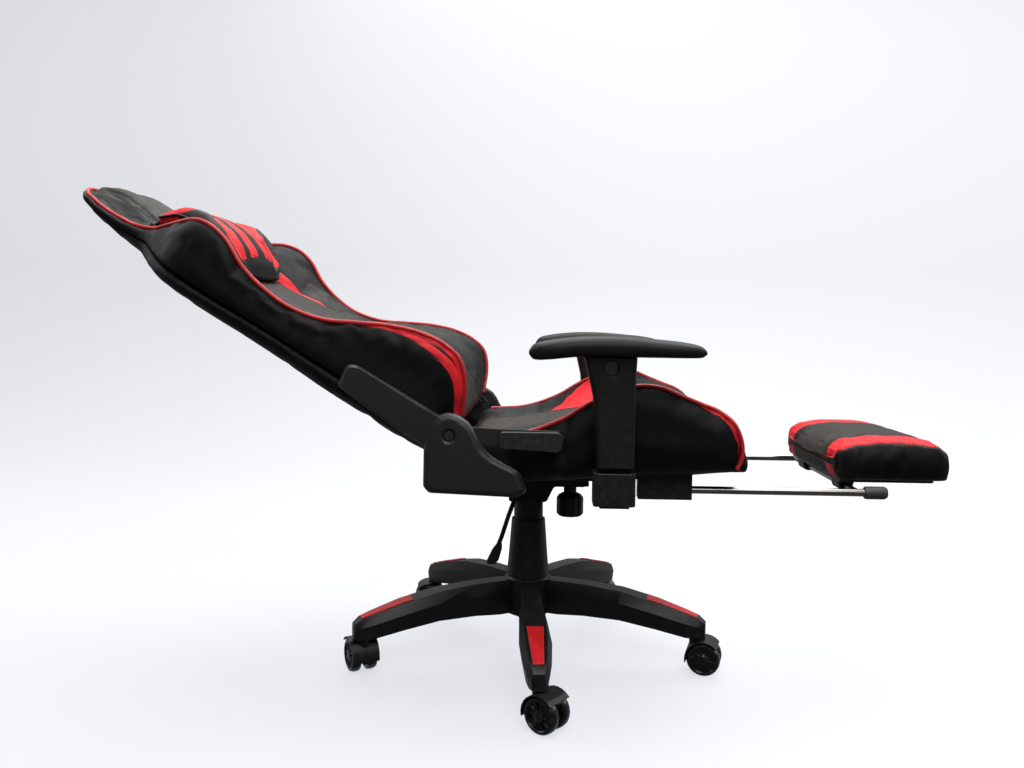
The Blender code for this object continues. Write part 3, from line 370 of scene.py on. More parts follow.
BLACK, RUBBED_BLACK = (0.0030, 0.0033, 0.0034, 1.0), (0.0050, 0.0052, 0.0053, 1.0)
RED, SEAM_SHADOW = (0.82, 0.020, 0.028, 1.0), (0.004, 0.004, 0.004, 1.0)
# SUNLIT_BLACK is painted sunlight: a lighter leather tone laid on the tops that face the lamps
SUNLIT_BLACK, SCUFFED_LEATHER = (0.040, 0.035, 0.028, 1.0), (0.11, 0.105, 0.10, 1.0)
PIPING_RED, WORN_PIPING, SCUFFED_PIPING = (
    (0.62, 0.014, 0.020, 1.0), (0.46, 0.010, 0.015, 1.0), (0.16, 0.12, 0.11, 1.0))
DUST = (0.30, 0.29, 0.27, 1.0)
STEEL, DRAWN_STEEL, SMEARED_STEEL = (
    (0.42, 0.41, 0.40, 1.0), (0.32, 0.31, 0.30, 1.0), (0.26, 0.25, 0.24, 1.0))
WEB_SHADOW, WEB_THREAD = (0.008, 0.008, 0.009, 1.0), (0.035, 0.035, 0.037, 1.0)


def scaled(colour, by, plus=0.0):
    return tuple(min(1.0, by * c + plus) for c in colour[:3]) + (1.0,)


def upholstery_leather(name, groups, base, worn, rough=0.46):
    """Grained leather whose accent colour fills the sewn panels marked on the piece."""
    def draw(n):
        grain = placed(n, groups["grain"])
        sewn = placed(n, groups["sewn"],
                      Distance=n.add("ShaderNodeAttribute", attribute_name="accent").outputs["Fac"],
                      Seam=n.add("ShaderNodeAttribute", attribute_name="seam").outputs["Fac"])
        wear = placed(n, groups["wear"], Amount=0.35)
        tone = n.mix(n.range(grain["Patch"], 0.3, 0.75), base, worn)
        # painted sunlight: the sunlit attribute lightens the leather on its upward tops
        painted_sunlight = n.add("ShaderNodeAttribute", attribute_name="sunlit").outputs["Fac"]
        tone = n.mix(painted_sunlight, tone, SUNLIT_BLACK)
        red = n.mix(n.range(grain["Patch"], 0.3, 0.8), RED, scaled(RED, 0.72))
        tone = n.mix(sewn["Inside"], tone, red)
        tone = n.mix(n.sum("SUBTRACT", 1.0, sewn["Shade"], clamp=True), tone, SEAM_SHADOW)
        tone = n.mix(n.sum("MULTIPLY", wear["Edge"], 0.4), tone, SCUFFED_LEATHER)
        roughness = n.range(grain["Patch"], 0.25, 0.8, rough - 0.07, rough + 0.10)
        roughness = n.sum("MULTIPLY_ADD", wear["Smear"], 0.08, roughness)
        folds = bumped(n, sewn["Height"], 0.55, 0.0016)
        return {"Base Color": tone, "Roughness": roughness,
                "Normal": bumped(n, grain["Height"], 0.22, 0.0004, folds)}
    return material(name, draw, Specular_IOR_Level=0.16, Sheen_Weight=0.015, Sheen_Roughness=0.45)


def single_leather(name, groups, base, worn, rough=0.4):
    """Leather of one colour, as on a piping."""
    def draw(n):
        grain = placed(n, groups["grain"], Crease=0.8)
        wear = placed(n, groups["wear"], Amount=0.5)
        tone = n.mix(n.range(grain["Patch"], 0.3, 0.75), base, worn)
        tone = n.mix(n.sum("MULTIPLY", wear["Edge"], 0.3), tone, SCUFFED_PIPING)
        return {"Base Color": tone,
                "Roughness": n.range(grain["Patch"], 0.25, 0.8, rough - 0.06, rough + 0.10),
                "Normal": bumped(n, grain["Height"], 0.25, 0.0004)}
    return material(name, draw, Specular_IOR_Level=0.5)


def plastic(name, groups, base, rough, scale=900.0, bump=0.25, wear_amount=0.5, dust=0.03,
            **constants):
    """Moulded plastic or powder coat with its grain, rubbed edges and a little dust."""
    def draw(n):
        grain = placed(n, groups["moulded"], Scale=scale)
        wear = placed(n, groups["wear"], Amount=wear_amount)
        settled = placed(n, groups["dust"], Amount=dust)
        tone = n.mix(n.range(grain["Flow"], 0.3, 0.7), base, scaled(base, 1.25))
        tone = n.mix(wear["Edge"], tone, scaled(base, 2.6, 0.03))
        tone = n.mix(settled["Mask"], tone, DUST)
        roughness = n.sum("MULTIPLY_ADD", wear["Smear"], 0.14, rough - 0.07)
        return {"Base Color": tone, "Roughness": roughness,
                "Normal": bumped(n, grain["Height"], bump, 0.0003)}
    return material(name, draw, **constants)


def polished_steel(name, groups):
    def draw(n):
        place = n.add("ShaderNodeTexCoord").outputs["Object"]
        stretched = n.add("ShaderNodeMapping", {"Vector": place, "Scale": (900.0, 12.0, 900.0)})
        drawn = n.noise(1.0, 3.0, 0.6, stretched.outputs[0])
        wear = placed(n, groups["wear"], Amount=0.5)
        tone = n.mix(n.range(drawn, 0.3, 0.7), STEEL, DRAWN_STEEL)
        tone = n.mix(n.range(wear["Smear"], 0.5, 0.75), tone, SMEARED_STEEL)
        return {"Base Color": tone, "Roughness": n.range(drawn, 0.2, 0.8, 0.14, 0.30),
                "Normal": bumped(n, drawn, 0.08, 0.0001)}
    return material(name, draw, Metallic=1.0)


def webbing(name, groups):
    def draw(n):
        weave = placed(n, groups["weave"])
        tone = n.mix(weave["Thread"], WEB_SHADOW, WEB_THREAD)
        return {"Base Color": tone, "Roughness": n.range(weave["Thread"], 0.0, 1.0, 0.95, 0.75),
                "Normal": bumped(n, weave["Height"], 0.6, 0.0005)}
    return material(name, draw, Sheen_Weight=0.25)


def make_finishes():
    groups = {"grain": leather_grain(), "sewn": sewn_panel(), "wear": handling_wear(),
              "dust": settled_dust(),
              "moulded": moulded_grain(), "weave": woven_band()}
    return {
        "leather": upholstery_leather("black_and_red_leather", groups, BLACK, RUBBED_BLACK),
        "piping": single_leather("red_piping", groups, PIPING_RED, WORN_PIPING),
        "thread": webbing("black_thread", groups),
        "black_welt": single_leather("black_piping", groups, BLACK, RUBBED_BLACK, 0.5),
        "rear_leather": upholstery_leather("rear_panel_leather", groups, BLACK, RUBBED_BLACK, 0.5),
        "cover": plastic("textured_cover_plastic", groups, (0.0105, 0.0110, 0.0112, 1.0), 0.46,
                         scale=1100.0, bump=0.35),
        "nylon": plastic("satin_nylon", groups, (0.0045, 0.0046, 0.0048, 1.0), 0.40, scale=700.0,
                         bump=0.18),
        "caster": plastic("caster_plastic", groups, (0.0035, 0.0035, 0.0038, 1.0), 0.26,
                          scale=600.0,
                          bump=0.08, Coat_Weight=0.5, Coat_Roughness=0.15),
        "arm_pad": plastic("soft_arm_pad", groups, (0.0050, 0.0052, 0.0055, 1.0), 0.46,
                           scale=1500.0,
                           bump=0.30, wear_amount=0.4, dust=0.01, Specular_IOR_Level=0.22),
        "cap": plastic("rod_cap_plastic", groups, (0.034, 0.036, 0.039, 1.0), 0.45, bump=0.2),
        "inlay": plastic("red_inlay", groups, (0.66, 0.013, 0.018, 1.0), 0.38, bump=0.15,
                         wear_amount=0.3),
        "black_steel": plastic("powder_coat", groups, (0.006, 0.006, 0.0063, 1.0), 0.50,
                               scale=1400.0,
                               bump=0.35, Metallic=0.3),
        "steel": polished_steel("polished_steel", groups),
        "webbing": webbing("elastic_webbing", groups),
    }


# ---------------------------------------------------------------- hard pieces


WELD = 0.00002
FLAT_WITHIN, SOFTENED_FROM, SHARP_FROM = math.radians(0.7), math.radians(28), math.radians(34)
BROAD_BEVEL = 0.003  # wider ones may run past a neighbouring edge


def dressed(node, body, slot, finish, bevel):
    """The frame's own shape with softened edges in place of the bare node."""
    mesh = frame["nodes"][node].data.copy()
    mesh.name = f"{node}_dressed"
    made = bpy.data.objects.new(f"{node}_dressed", mesh)
    bpy.context.scene.collection.objects.link(made)
    shape = bmesh.new()
    shape.from_mesh(mesh)
    bmesh.ops.remove_doubles(shape, verts=shape.verts, dist=WELD)
    bmesh.ops.dissolve_limit(shape, angle_limit=FLAT_WITHIN, verts=shape.verts, edges=shape.edges)
    shape.to_mesh(mesh)
    shape.free()
    mesh.materials.clear()
    mesh.materials.append(finish)
    edges = made.modifiers.new("Softened edges", "BEVEL")
    edges.width, edges.segments, edges.limit_method = bevel, 2, "ANGLE"
    edges.angle_limit, edges.harden_normals = SOFTENED_FROM, False
    edges.use_clamp_overlap = bevel < BROAD_BEVEL
    mesh.shade_smooth()
    mesh.set_sharp_from_angle(angle=SHARP_FROM)
    made.modifiers.new("Even shading", "WEIGHTED_NORMAL").keep_sharp = True
    attach(made, body, slot, node)


# ---------------------------------------------------------------- padded pieces


def half_section(parts, counts, leans=None):
    """Points of one half of a cross-section, part by part from the underside's middle to the top's,
    with the seam number at each point: 0 in the middle of the top, rising by one at each seam. A
    lean over 1 crowds the points towards the part's far end."""
    points, numbers = [], []
    for index, (part, count) in enumerate(zip(parts, counts)):
        drawn = spread(part, count + 1, leans[index] if leans else 1.0)
        level = len(parts) - index - np.linspace(0, 1, count + 1)
        keep = slice(0, count) if index < len(parts) - 1 else slice(0, count + 1)
        points.append(drawn[keep])
        numbers.append(level[keep])
    return np.concatenate(points), np.concatenate(numbers)


class Padding:
    """A closed padded form drawn from half cross-sections (aside, height) along its length. Smaller
    rings close its ends, where close says how far it reaches past its first and last section."""

    ENDS = 2

    def __init__(self, name, start, span, shares, half_of, close=(0.004, 0.004)):
        self.name = name
        halves = [half_of(share) for share in shares]
        self.numbers = halves[0][1]
        self.half = len(self.numbers)
        self.columns = 2 * self.half - 2
        rings = [self.ring(points) for points, _ in halves]
        before = [self.closing(rings[0], share) for share in (0.86, 0.45)]
        after = [self.closing(rings[-1], share) for share in (0.45, 0.86)]
        self.section = np.array(before + rings + after)
        along = [start + share * span for share in shares]
        self.levels = np.concatenate([along[0] + np.array([-close[0], -0.55 * close[0]]), along,
                                      along[-1] + np.array([0.55 * close[1], close[1]])])

    def ring(self, half):
        mirror = half[1:-1][::-1] * [-1, 1]
        return np.concatenate([half, mirror])

    def closing(self, ring, share):
        """The ring drawn in towards the line between its top and its underside."""
        half = ring[:self.half]
        widest = int(np.argmax(half[:, 0]))
        low, high = half[:widest + 1], half[widest:][::-1]
        aside = np.abs(ring[:, 0])
        middle = (np.interp(aside, low[:, 0], low[:, 1])
                  + np.interp(aside, high[:, 0], high[:, 1])) / 2
        return np.column_stack([ring[:, 0] * (1 - 0.02 * share),
                                middle + (ring[:, 1] - middle) * (1 - share)])

    def make(self, to_world):
        rows, columns = len(self.levels), self.columns
        vertices = [to_world(x, level, height) for level, ring in zip(self.levels, self.section)
                    for x, height in ring]
        faces = []
        for row in range(rows - 1):
            for column in range(columns):
                following = (column + 1) % columns
                faces.append((row * columns + column, row * columns + following,
                              (row + 1) * columns + following, (row + 1) * columns + column))
        for row in (0, rows - 1):
            for column in range(self.half - 1):
                a, b = row * columns + column, row * columns + column + 1
                c, d = (row + 1) * columns - column - 1, (row + 1) * columns - column
                if column == 0:
                    faces.append((a, b, c))
                elif column == self.half - 2:
                    faces.append((a, b, d))
                else:
                    faces.append((a, b, c, d))
        made = fresh_object(self.name, vertices, faces)
        turn_outward(made)
        return made

    def grid(self):
        """Seam number, aside and along of every vertex."""
        numbers = np.concatenate([self.numbers, self.numbers[1:-1][::-1]])
        numbers = np.tile(numbers, len(self.levels))
        return numbers, self.section[:, :, 0].ravel(), np.repeat(self.levels, self.columns)

    def from_seam(self, number):
        """How far every vertex is from one seam, measured across its own cross-section."""
        at = int(np.argmin(np.abs(self.numbers - number)))
        seam = self.section[:, at, :][:, None, :]
        flipped = np.abs(self.section[:, :, :1])
        return np.hypot(flipped[:, :, 0] - seam[:, :, 0],
                        self.section[:, :, 1] - seam[:, :, 1]).ravel()

    def column(self, number, side):
        """Vertex indices of the line that holds one seam number."""
        at = int(np.argmin(np.abs(self.numbers - number)))
        at = at if side > 0 or at == 0 else (self.columns - at) % self.columns
        return np.arange(self.ENDS, len(self.levels) - self.ENDS) * self.columns + at


PUFF_FRAMES, PUFF_PRESSURE, CLOTH_STIFFNESS = 20, 4.0, 18.0


def puff(piece, held, cap, slack=-0.02):
    """Blows the padding up as cloth between its seams, by cap at the most, and keeps the result."""
    start = coordinates(piece)
    pins = piece.vertex_groups.new(name="sewn")
    for index in range(len(start)):
        if held[index] > 0:
            pins.add([index], float(held[index]), "REPLACE")
    cloth = piece.modifiers.new("Padding", "CLOTH")
    settings = cloth.settings
    settings.quality, settings.mass = 6, 0.25
    settings.tension_stiffness = settings.compression_stiffness = CLOTH_STIFFNESS
    settings.shear_stiffness, settings.bending_stiffness = 6.0, 0.6
    settings.use_pressure, settings.uniform_pressure_force = True, PUFF_PRESSURE
    settings.shrink_min = slack
    settings.vertex_group_mass = "sewn"
    settings.effector_weights.gravity = 0.0
    cloth.collision_settings.use_collision = False
    scene = bpy.context.scene
    for moment in range(1, PUFF_FRAMES + 1):
        scene.frame_set(moment)
    blown = piece.evaluated_get(bpy.context.evaluated_depsgraph_get()).to_mesh()
    flat = np.empty(len(start) * 3, np.float32)
    blown.vertices.foreach_get("co", flat)
    piece.modifiers.remove(cloth)
    scene.frame_set(1)
    move = flat.reshape(-1, 3) - start
    far = np.linalg.norm(move, axis=1)
    limit = np.minimum(1.0, cap / np.maximum(far, 1e-9))
    set_coordinates(piece, start + move * limit[:, None])


def finish_padding(piece):
    rounding = piece.modifiers.new("Rounding", "SUBSURF")
    rounding.levels = rounding.render_levels = 1


SEAM_REACH = 0.03


def seam_distance(points, lines):
    """How far each point is from the nearest of the sewn lines."""
    places = [place for line in lines for place in line]
    tree = KDTree(len(places))
    for number, place in enumerate(places):
        tree.insert(place, number)
    tree.balance()
    return np.array([min(SEAM_REACH, tree.find(point)[2]) for point in points])


def dense(points, step=0.002):
    points = np.asarray(points)
    along = np.concatenate([[0], np.cumsum(np.linalg.norm(np.diff(points, axis=0), axis=1))])
    at = np.arange(0, along[-1] + step, step)
    return np.column_stack([np.interp(at, along, points[:, k]) for k in range(3)])


# ---------------------------------------------------------------- back

BACK_LENGTH = 0.790
BACK_HALF_WIDTH = 0.262
# share of the back's length, half-width inset, then how far in front of the hinge's line lie the
# side's edge, the middle's front and the rear
BACK_STATIONS = np.array([
    (0.008, 0.022, 0.030, 0.018, -0.0520), (0.038, 0.007, 0.072, 0.044, -0.0570),
    (0.068, 0.001, 0.097, 0.052, -0.0595), (0.115, 0.000, 0.1055, 0.054, -0.0630),
    (0.165, 0.000, 0.0990, 0.050, -0.0655), (0.230, 0.003, 0.0770, 0.036, -0.0700),
    (0.290, 0.008, 0.0480, 0.020, -0.0740), (0.350, 0.013, 0.0190, 0.004, -0.0770),
    (0.415, 0.016, 0.0025, -0.010, -0.0800), (0.485, 0.010, 0.0010, -0.022, -0.0830),
    (0.545, 0.003, 0.0100, -0.032, -0.0860), (0.610, 0.000, 0.0310, -0.040, -0.0890),
    (0.650, 0.002, 0.0330, -0.044, -0.0905), (0.685, 0.014, 0.0240, -0.047, -0.0915),
    (0.717, 0.036, 0.0040, -0.048, -0.0920), (0.755, 0.070, -0.0220, -0.048, -0.0925),
    (0.787, 0.098, -0.0420, -0.045, -0.0925), (0.830, 0.114, -0.0590, -0.040, -0.0930),
    (0.885, 0.118, -0.0690, -0.038, -0.0920), (0.945, 0.126, -0.0715, -0.043, -0.0880),
    (0.985, 0.146, -0.0705, -0.055, -0.0815), (1.000, 0.172, -0.0700, -0.063, -0.0770)])


BACK_SHELF = 0.56  # where the middle meets the wing, as a share of the half-width
SKIN_EDGE, FRONT_SKIN_EDGE = 0.0035, 0.0045  # how far in from the side rear and front skins meet
ACCENT_OFF = -1  # outside every red panel


def back_row(share):
    return through(BACK_STATIONS[:, 0], BACK_STATIONS[:, 1:], share)[0]


def back_split(share, edge, rear):
    return rear + min(0.035 * (1.0 - 0.45 * share), 0.42 * (edge - rear))


def back_half(share):
    inset, edge, centre, rear = back_row(share)
    half = BACK_HALF_WIDTH - inset
    low = back_split(share, edge, rear) + 0.0006
    deep, shelf = edge - low, BACK_SHELF * half
    under = [(0, low), (0.5 * half, low), (half - FRONT_SKIN_EDGE, low)]
    flank = [(half - FRONT_SKIN_EDGE, low), (half - 0.0025, low + 0.05 * deep),
             (half - 0.0015, low + 0.5 * deep),
             (half - 0.005, edge - 0.14 * deep), (half - 0.013, edge - 0.001)]
    wing = [(half - 0.013, edge - 0.001), (half - 0.036, edge - 0.20 * (edge - centre)),
            (0.5 * (half - 0.036 + shelf), centre + 0.44 * (edge - centre)),
            (shelf, centre + 0.03 * (edge - centre))]
    middle = [(shelf, centre + 0.03 * (edge - centre)), (0.62 * shelf, centre + 0.0035),
              (0.3 * shelf, centre + 0.002), (0, centre + 0.001)]
    return half_section((under, flank, wing, middle), (6, 15, 13, 12), (1, 1.5, 1, 1))


def back_to_world(hinge):
    lay = Matrix.Translation(hinge) @ Matrix.Rotation(-RECLINE, 4, "X")
    return lambda x, t, n: lay @ Vector((x, -n, t))


def at_seam(numbers, number):
    return np.abs(numbers - number) < ON_SEAM


def stripe(value, low, high):
    """How far inside a band a value is; negative outside."""
    return np.minimum(value - low, high - value)


def back_accent(numbers, aside, along, down):
    """Distance into the back's red panels: the taper beside the middle and the flank's gusset."""
    share = along / BACK_LENGTH
    rows = through(BACK_STATIONS[:, 0], BACK_STATIONS[:, 1:], np.clip(share, 0.008, 1))
    half = BACK_HALF_WIDTH - rows[:, 0]
    wide = np.interp(share, [0.36, 0.42, 0.62, 0.70, 0.74], [-0.004, 0.001, 0.020, 0.024, 0.0])
    taper = stripe(np.abs(aside), BACK_SHELF * half + 0.003, BACK_SHELF * half + 0.003 + wide)
    taper = np.minimum(taper, (share - 0.38) * BACK_LENGTH)
    taper[(numbers > 2.0) | (numbers < 0.9)] = ACCENT_OFF
    gusset = np.interp(share, [0.0, 0.04, 0.09, 0.14, 0.20, 0.28, 0.36],
                       [0.022, 0.028, 0.029, 0.023, 0.012, 0.004, -0.004])
    inside = gusset - down
    lens = 0.0034 - np.abs(down - 0.42 * gusset) - 0.05 * np.abs(share - 0.118)
    inside = np.minimum(inside, -lens)
    inside[(numbers < 2.0) | (numbers > 2.9)] = ACCENT_OFF
    return np.maximum(taper, inside)


def mark(piece, accent, seams, sunlit=None):
    """Stores where the red panels, the seams and the painted sunlight on the leather are."""
    points = coordinates(piece)
    near = seam_distance(points, [dense(line) for line in seams])
    store(piece, "accent", accent)
    store(piece, "seam", np.minimum(near, np.abs(accent)))
    store(piece, "sunlit", np.zeros(len(points)) if sunlit is None else sunlit)


def carve(piece, cutters):
    """Cuts shapes out of a piece for good."""
    for cutter in cutters:
        hole = piece.modifiers.new("Slot", "BOOLEAN")
        hole.object, hole.operation, hole.solver = cutter, "DIFFERENCE", "EXACT"
    graph = bpy.context.evaluated_depsgraph_get()
    whole = bpy.data.meshes.new_from_object(piece.evaluated_get(graph),
                                            preserve_all_data_layers=True, depsgraph=graph)
    piece.modifiers.clear()
    piece.data = whole
    for cutter in cutters:
        bpy.data.objects.remove(cutter)


SLOT_CORNERS = ((-0.022, -0.024), (0.022, -0.0192), (0.0165, 0.024), (-0.022, 0.024))
SLOT_ASIDE, SLOT_UP, SLOT_ROUNDING, SLOT_REAR, SLOT_FRONT = 0.098, 0.628, 0.010, -0.15, 0.05


def slot_cutter(lay, side):
    """A rounded four-cornered bar through the back, for one of the two head slots."""
    outline = [(side * (x + SLOT_ASIDE), t + SLOT_UP) for x, t in SLOT_CORNERS]
    corners = []
    for i, (x, t) in enumerate(outline):
        before, after = Vector(outline[i - 1]), Vector(outline[(i + 1) % 4])
        here = Vector((x, t))
        for share in (0.0, 0.25, 0.5, 0.75, 1.0):
            start = here + (before - here).normalized() * SLOT_ROUNDING
            end = here + (after - here).normalized() * SLOT_ROUNDING
            corners.append((1 - share) ** 2 * start + 2 * share * (1 - share) * here
                           + share ** 2 * end)
    count = len(corners)
    vertices = [lay(p.x, p.y, n) for n in (SLOT_REAR, SLOT_FRONT) for p in corners]
    faces = [(i, (i + 1) % count, (i + 1) % count + count, i + count) for i in range(count)]
    faces += [tuple(range(count - 1, -1, -1)), tuple(range(count, 2 * count))]
    cutter = fresh_object(f"slot_{side}", vertices, faces, smooth=False)
    turn_outward(cutter)
    return cutter


def along_seam(pad, piece, number, side, lift=0.0, toward=None, share=0.0):
    """Points on the piece along a seam, lifted off it, or moved towards a neighbouring line."""
    points, facing = coordinates(piece), normals(piece)
    line = pad.column(number, side)
    places, outward = points[line], facing[line]
    if toward is not None:
        other = line + (toward if side > 0 else -toward)
        places = places * (1 - share) + points[other] * share
        outward = outward * (1 - share) + facing[other] * share
    return places + lift * outward, outward


def both_seams(pad, piece, number, lift=0.0):
    """One seam's line on each side of the piece."""
    return [along_seam(pad, piece, number, side, lift)[0] for _, side in SIDES]


def stitched(name, pad, piece, beside, finish):
    """Stitches by the seams: beside lists seam number, which way, how far to the next line."""
    rows = [along_seam(pad, piece, number, side, STITCH_LIFT, way, far)
            for number, way, far in beside for _, side in SIDES]
    return thread(name, rows, finish)


TOP_SEAMS = ((2, -1, 0.75), (1, -1, 0.45), (1, 1, 0.45))


def make_back(hinge, finishes):
    shares = rows_at((0.008, 0.052, 6), (0.062, 0.962, 90), (0.970, 1.0, 6))
    pad = Padding("back_upholstery", 0.0, BACK_LENGTH, shares, back_half, close=(0.004, 0.002))
    lay = back_to_world(hinge)
    piece = pad.make(lay)
    numbers, aside, along = pad.grid()
    share = along / BACK_LENGTH
    on_seam = at_seam(numbers, 2) | at_seam(numbers, 1) | (numbers >= 3)
    held = np.where(on_seam | (share < 0.012) | (share > 0.995), 1.0,
                    np.clip((numbers - 2.45) / 0.35, 0, 0.9))
    puff(piece, held, 0.0050)
    crest = both_seams(pad, piece, 2)
    shelf = both_seams(pad, piece, 1)
    sunlit = 0.5 * np.clip((share - 0.76) / 0.05, 0, 1) * np.clip(1.5 - np.abs(aside) / 0.08, 0, 1)
    sunlit += 0.35 * np.clip((numbers < 1.0) * (0.7 - share) / 0.1, 0, 1)
    mark(piece, back_accent(numbers, aside, along, pad.from_seam(2)), crest + shelf, sunlit)
    edge = both_seams(pad, piece, 2, 0.0012)
    across = np.linspace(0, 1, 13)[1:-1]
    over = np.array([edge[0][-1] * (1 - s) + edge[1][-1] * s for s in across])
    rise = np.array(lay(0, 0.005, 0) - lay(0, 0, 0))
    bow = np.sin(math.pi * across)[:, None] ** 0.5 * rise
    loop = np.concatenate([edge[0], over + bow, edge[1][::-1]])
    piping = cord_along("back_piping", loop, BACK_PIPING, finishes["piping"])
    stitches = stitched("back_stitches", pad, piece, TOP_SEAMS, finishes["thread"])
    finish_padding(piece)
    carve(piece, [slot_cutter(lay, side) for _, side in SIDES])
    piece.data.materials.append(finishes["leather"])
    piece.data.shade_smooth()
    attach(piece, "back", "leather", "back_cushion")
    attach(piping, "back", "red_trim")
    attach(stitches, "back", "leather")


REAR_CROSS_SEAM = 0.60


def rear_half(share):
    inset, edge, _, rear = back_row(share)
    half = BACK_HALF_WIDTH - inset
    high = back_split(share, edge, rear) + 0.0003
    under = [(0, rear), (0.35 * half, rear), (0.62 * half, rear + 0.001)]
    side = [(0.62 * half, rear + 0.001), (0.90 * half, rear + 0.05 * (high - rear)),
            (half - 0.0085, rear + 0.34 * (high - rear)), (half - SKIN_EDGE, high)]
    top = [(half - SKIN_EDGE, high), (0.5 * half, high), (0, high)]
    return half_section((under, side, top), (9, 9, 6))


def make_rear_panel(hinge, finishes):
    shares = rows_at((0.008, 0.052, 5), (0.064, 0.96, 76), (0.972, 1.0, 5))
    pad = Padding("rear_upholstery", 0.0, BACK_LENGTH, shares, rear_half)
    lay = back_to_world(hinge)
    piece = pad.make(lay)
    numbers, _, along = pad.grid()
    share = along / BACK_LENGTH
    across = np.abs(share - REAR_CROSS_SEAM) < 0.006
    held = np.where(at_seam(numbers, 2) | (numbers <= 1) | across | (share < 0.012)
                    | (share > 0.99), 1.0, 0.0)
    puff(piece, held, 0.0018)
    seams = both_seams(pad, piece, 2)
    row = int(np.argmin(np.abs(pad.levels / BACK_LENGTH - REAR_CROSS_SEAM)))
    middle = np.arange(-8, 9) % pad.columns + row * pad.columns
    points = coordinates(piece)
    cross = points[middle]
    mark(piece, np.full(len(points), float(ACCENT_OFF)), seams + [cross])
    stitches = stitched("rear_stitches", pad, piece, ((2, 1, 0.5), (2, -1, 0.5)),
                        finishes["thread"])
    finish_padding(piece)
    carve(piece, [slot_cutter(lay, side) for _, side in SIDES])
    piece.data.materials.append(finishes["rear_leather"])
    piece.data.shade_smooth()
    attach(piece, "back", "leather", "back_panel")
    attach(stitches, "back", "leather")


# ---------------------------------------------------------------- head pillow


def front_height(t, x):
    """How far in front of the hinge's line the back's front lies, t along the back and x aside."""
    inset, edge, centre, _ = back_row(t / BACK_LENGTH)
    half = BACK_HALF_WIDTH - inset
    shelf = BACK_SHELF * half
    return np.interp(x, [0, 0.5 * shelf, shelf, half - 0.036, half - 0.014],
                     [centre, centre, centre + 0.05 * (edge - centre),
                      edge - 0.22 * (edge - centre), edge])


# share of the pillow's length, thickness, width share
PILLOW_ROWS = np.array([
    (0.0, 0.010, 0.62), (0.06, 0.028, 0.80), (0.18, 0.048, 0.94), (0.36, 0.062, 1.0),
    (0.55, 0.066, 1.0), (0.75, 0.056, 0.94), (0.88, 0.040, 0.83), (0.96, 0.022, 0.66),
    (1.0, 0.007, 0.46)])
PILLOW_LOW, PILLOW_HIGH, PILLOW_CLEAR, PILLOW_HALF_WIDTH = 0.470, 0.655, 0.0060, 0.158


def pillow_half(share):
    thick, width = (np.interp(share, PILLOW_ROWS[:, 0], PILLOW_ROWS[:, k]) for k in (1, 2))
    t = PILLOW_LOW + share * (PILLOW_HIGH - PILLOW_LOW)
    half = width * PILLOW_HALF_WIDTH
    low, aside = front_height(t, 0.0) + PILLOW_CLEAR, front_height(t, 0.6 * half) + PILLOW_CLEAR
    rim = front_height(t, half) + 2 * PILLOW_CLEAR
    under = [(0, low), (0.6 * half, aside), (0.92 * half, rim + 0.05 * thick),
             (half, rim + 0.34 * thick)]
    top = [(half, rim + 0.34 * thick), (0.90 * half, rim + 0.60 * thick),
           (0.6 * half, low + 0.94 * thick),
           (0.3 * half, low + thick), (0, low + thick)]
    return half_section((under, top), (14, 17))


def pillow_accent(numbers, aside, along):
    """The curved red bands of the pillow."""
    share = (along - PILLOW_LOW) / (PILLOW_HIGH - PILLOW_LOW)
    x = np.abs(aside)
    stops = [0.0, 0.2, 0.5, 0.7, 0.8, 0.9, 1.0]
    outer = np.interp(share, stops, [0.112, 0.110, 0.114, 0.148, 0.165, 0.165, 0.165])
    split = np.interp(share, stops, [0.068, 0.066, 0.062, 0.068, 0.072, 0.072, 0.072])
    gap = np.interp(share, stops, [0.006, 0.009, 0.010, 0.007, 0.001, -0.01, -0.02])
    inner = np.interp(share, stops, [0.018, 0.018, 0.017, 0.013, 0.004, -0.01, -0.01])
    red = np.minimum(stripe(x, inner, outer), np.abs(x - split) - gap)
    red = np.minimum(red, stripe(share, 0.09 + 0.5 * np.maximum(0, 0.09 - x), 0.985) * 0.2)
    red[numbers > 1.0 + 0.35 * np.clip((share - 0.58) / 0.14, 0, 1)] = ACCENT_OFF
    return red


def make_pillow(hinge, finishes):
    shares = rows_at((0.0, 0.06, 4), (0.09, 0.93, 30), (0.955, 1.0, 4))
    pad = Padding("pillow_upholstery", PILLOW_LOW, PILLOW_HIGH - PILLOW_LOW, shares, pillow_half,
                  close=(0.003, 0.003))
    lay = back_to_world(hinge)
    piece = pad.make(lay)
    numbers, aside, along = pad.grid()
    held = np.where(at_seam(numbers, 1) | (numbers > 1.2), 1.0, 0.0)
    puff(piece, held, 0.005, slack=-0.04)
    rim = both_seams(pad, piece, 1)
    # painted sunlight on the outer parts of the pillow's top
    top = np.clip((np.abs(aside) - 0.10) / 0.01, 0, 1) * (numbers < 0.98)
    mark(piece, pillow_accent(numbers, aside, along), rim, 0.45 * top)
    ends = both_seams(pad, piece, 1, 0.0004)
    piping = cord_along("pillow_welt", np.concatenate([ends[0], ends[1][::-1]]), PILLOW_WELT,
                        finishes["black_welt"], closed=True)
    finish_padding(piece)
    piece.data.materials.append(finishes["leather"])
    attach(piece, "back", "leather", "head_pillow")
    attach(piping, "back", "leather")


# ---------------------------------------------------------------- seat

SEAT_HALF_WIDTH, SEAT_REAR, SEAT_FRONT = 0.256, -0.112, 0.354
SEAT_SPAN = SEAT_FRONT - SEAT_REAR
SEAT_SHELF = 0.55
SEAT_LOW, SEAT_SLOPE = 0.3724, 0.062  # the underside's height at the column, its rise forwards
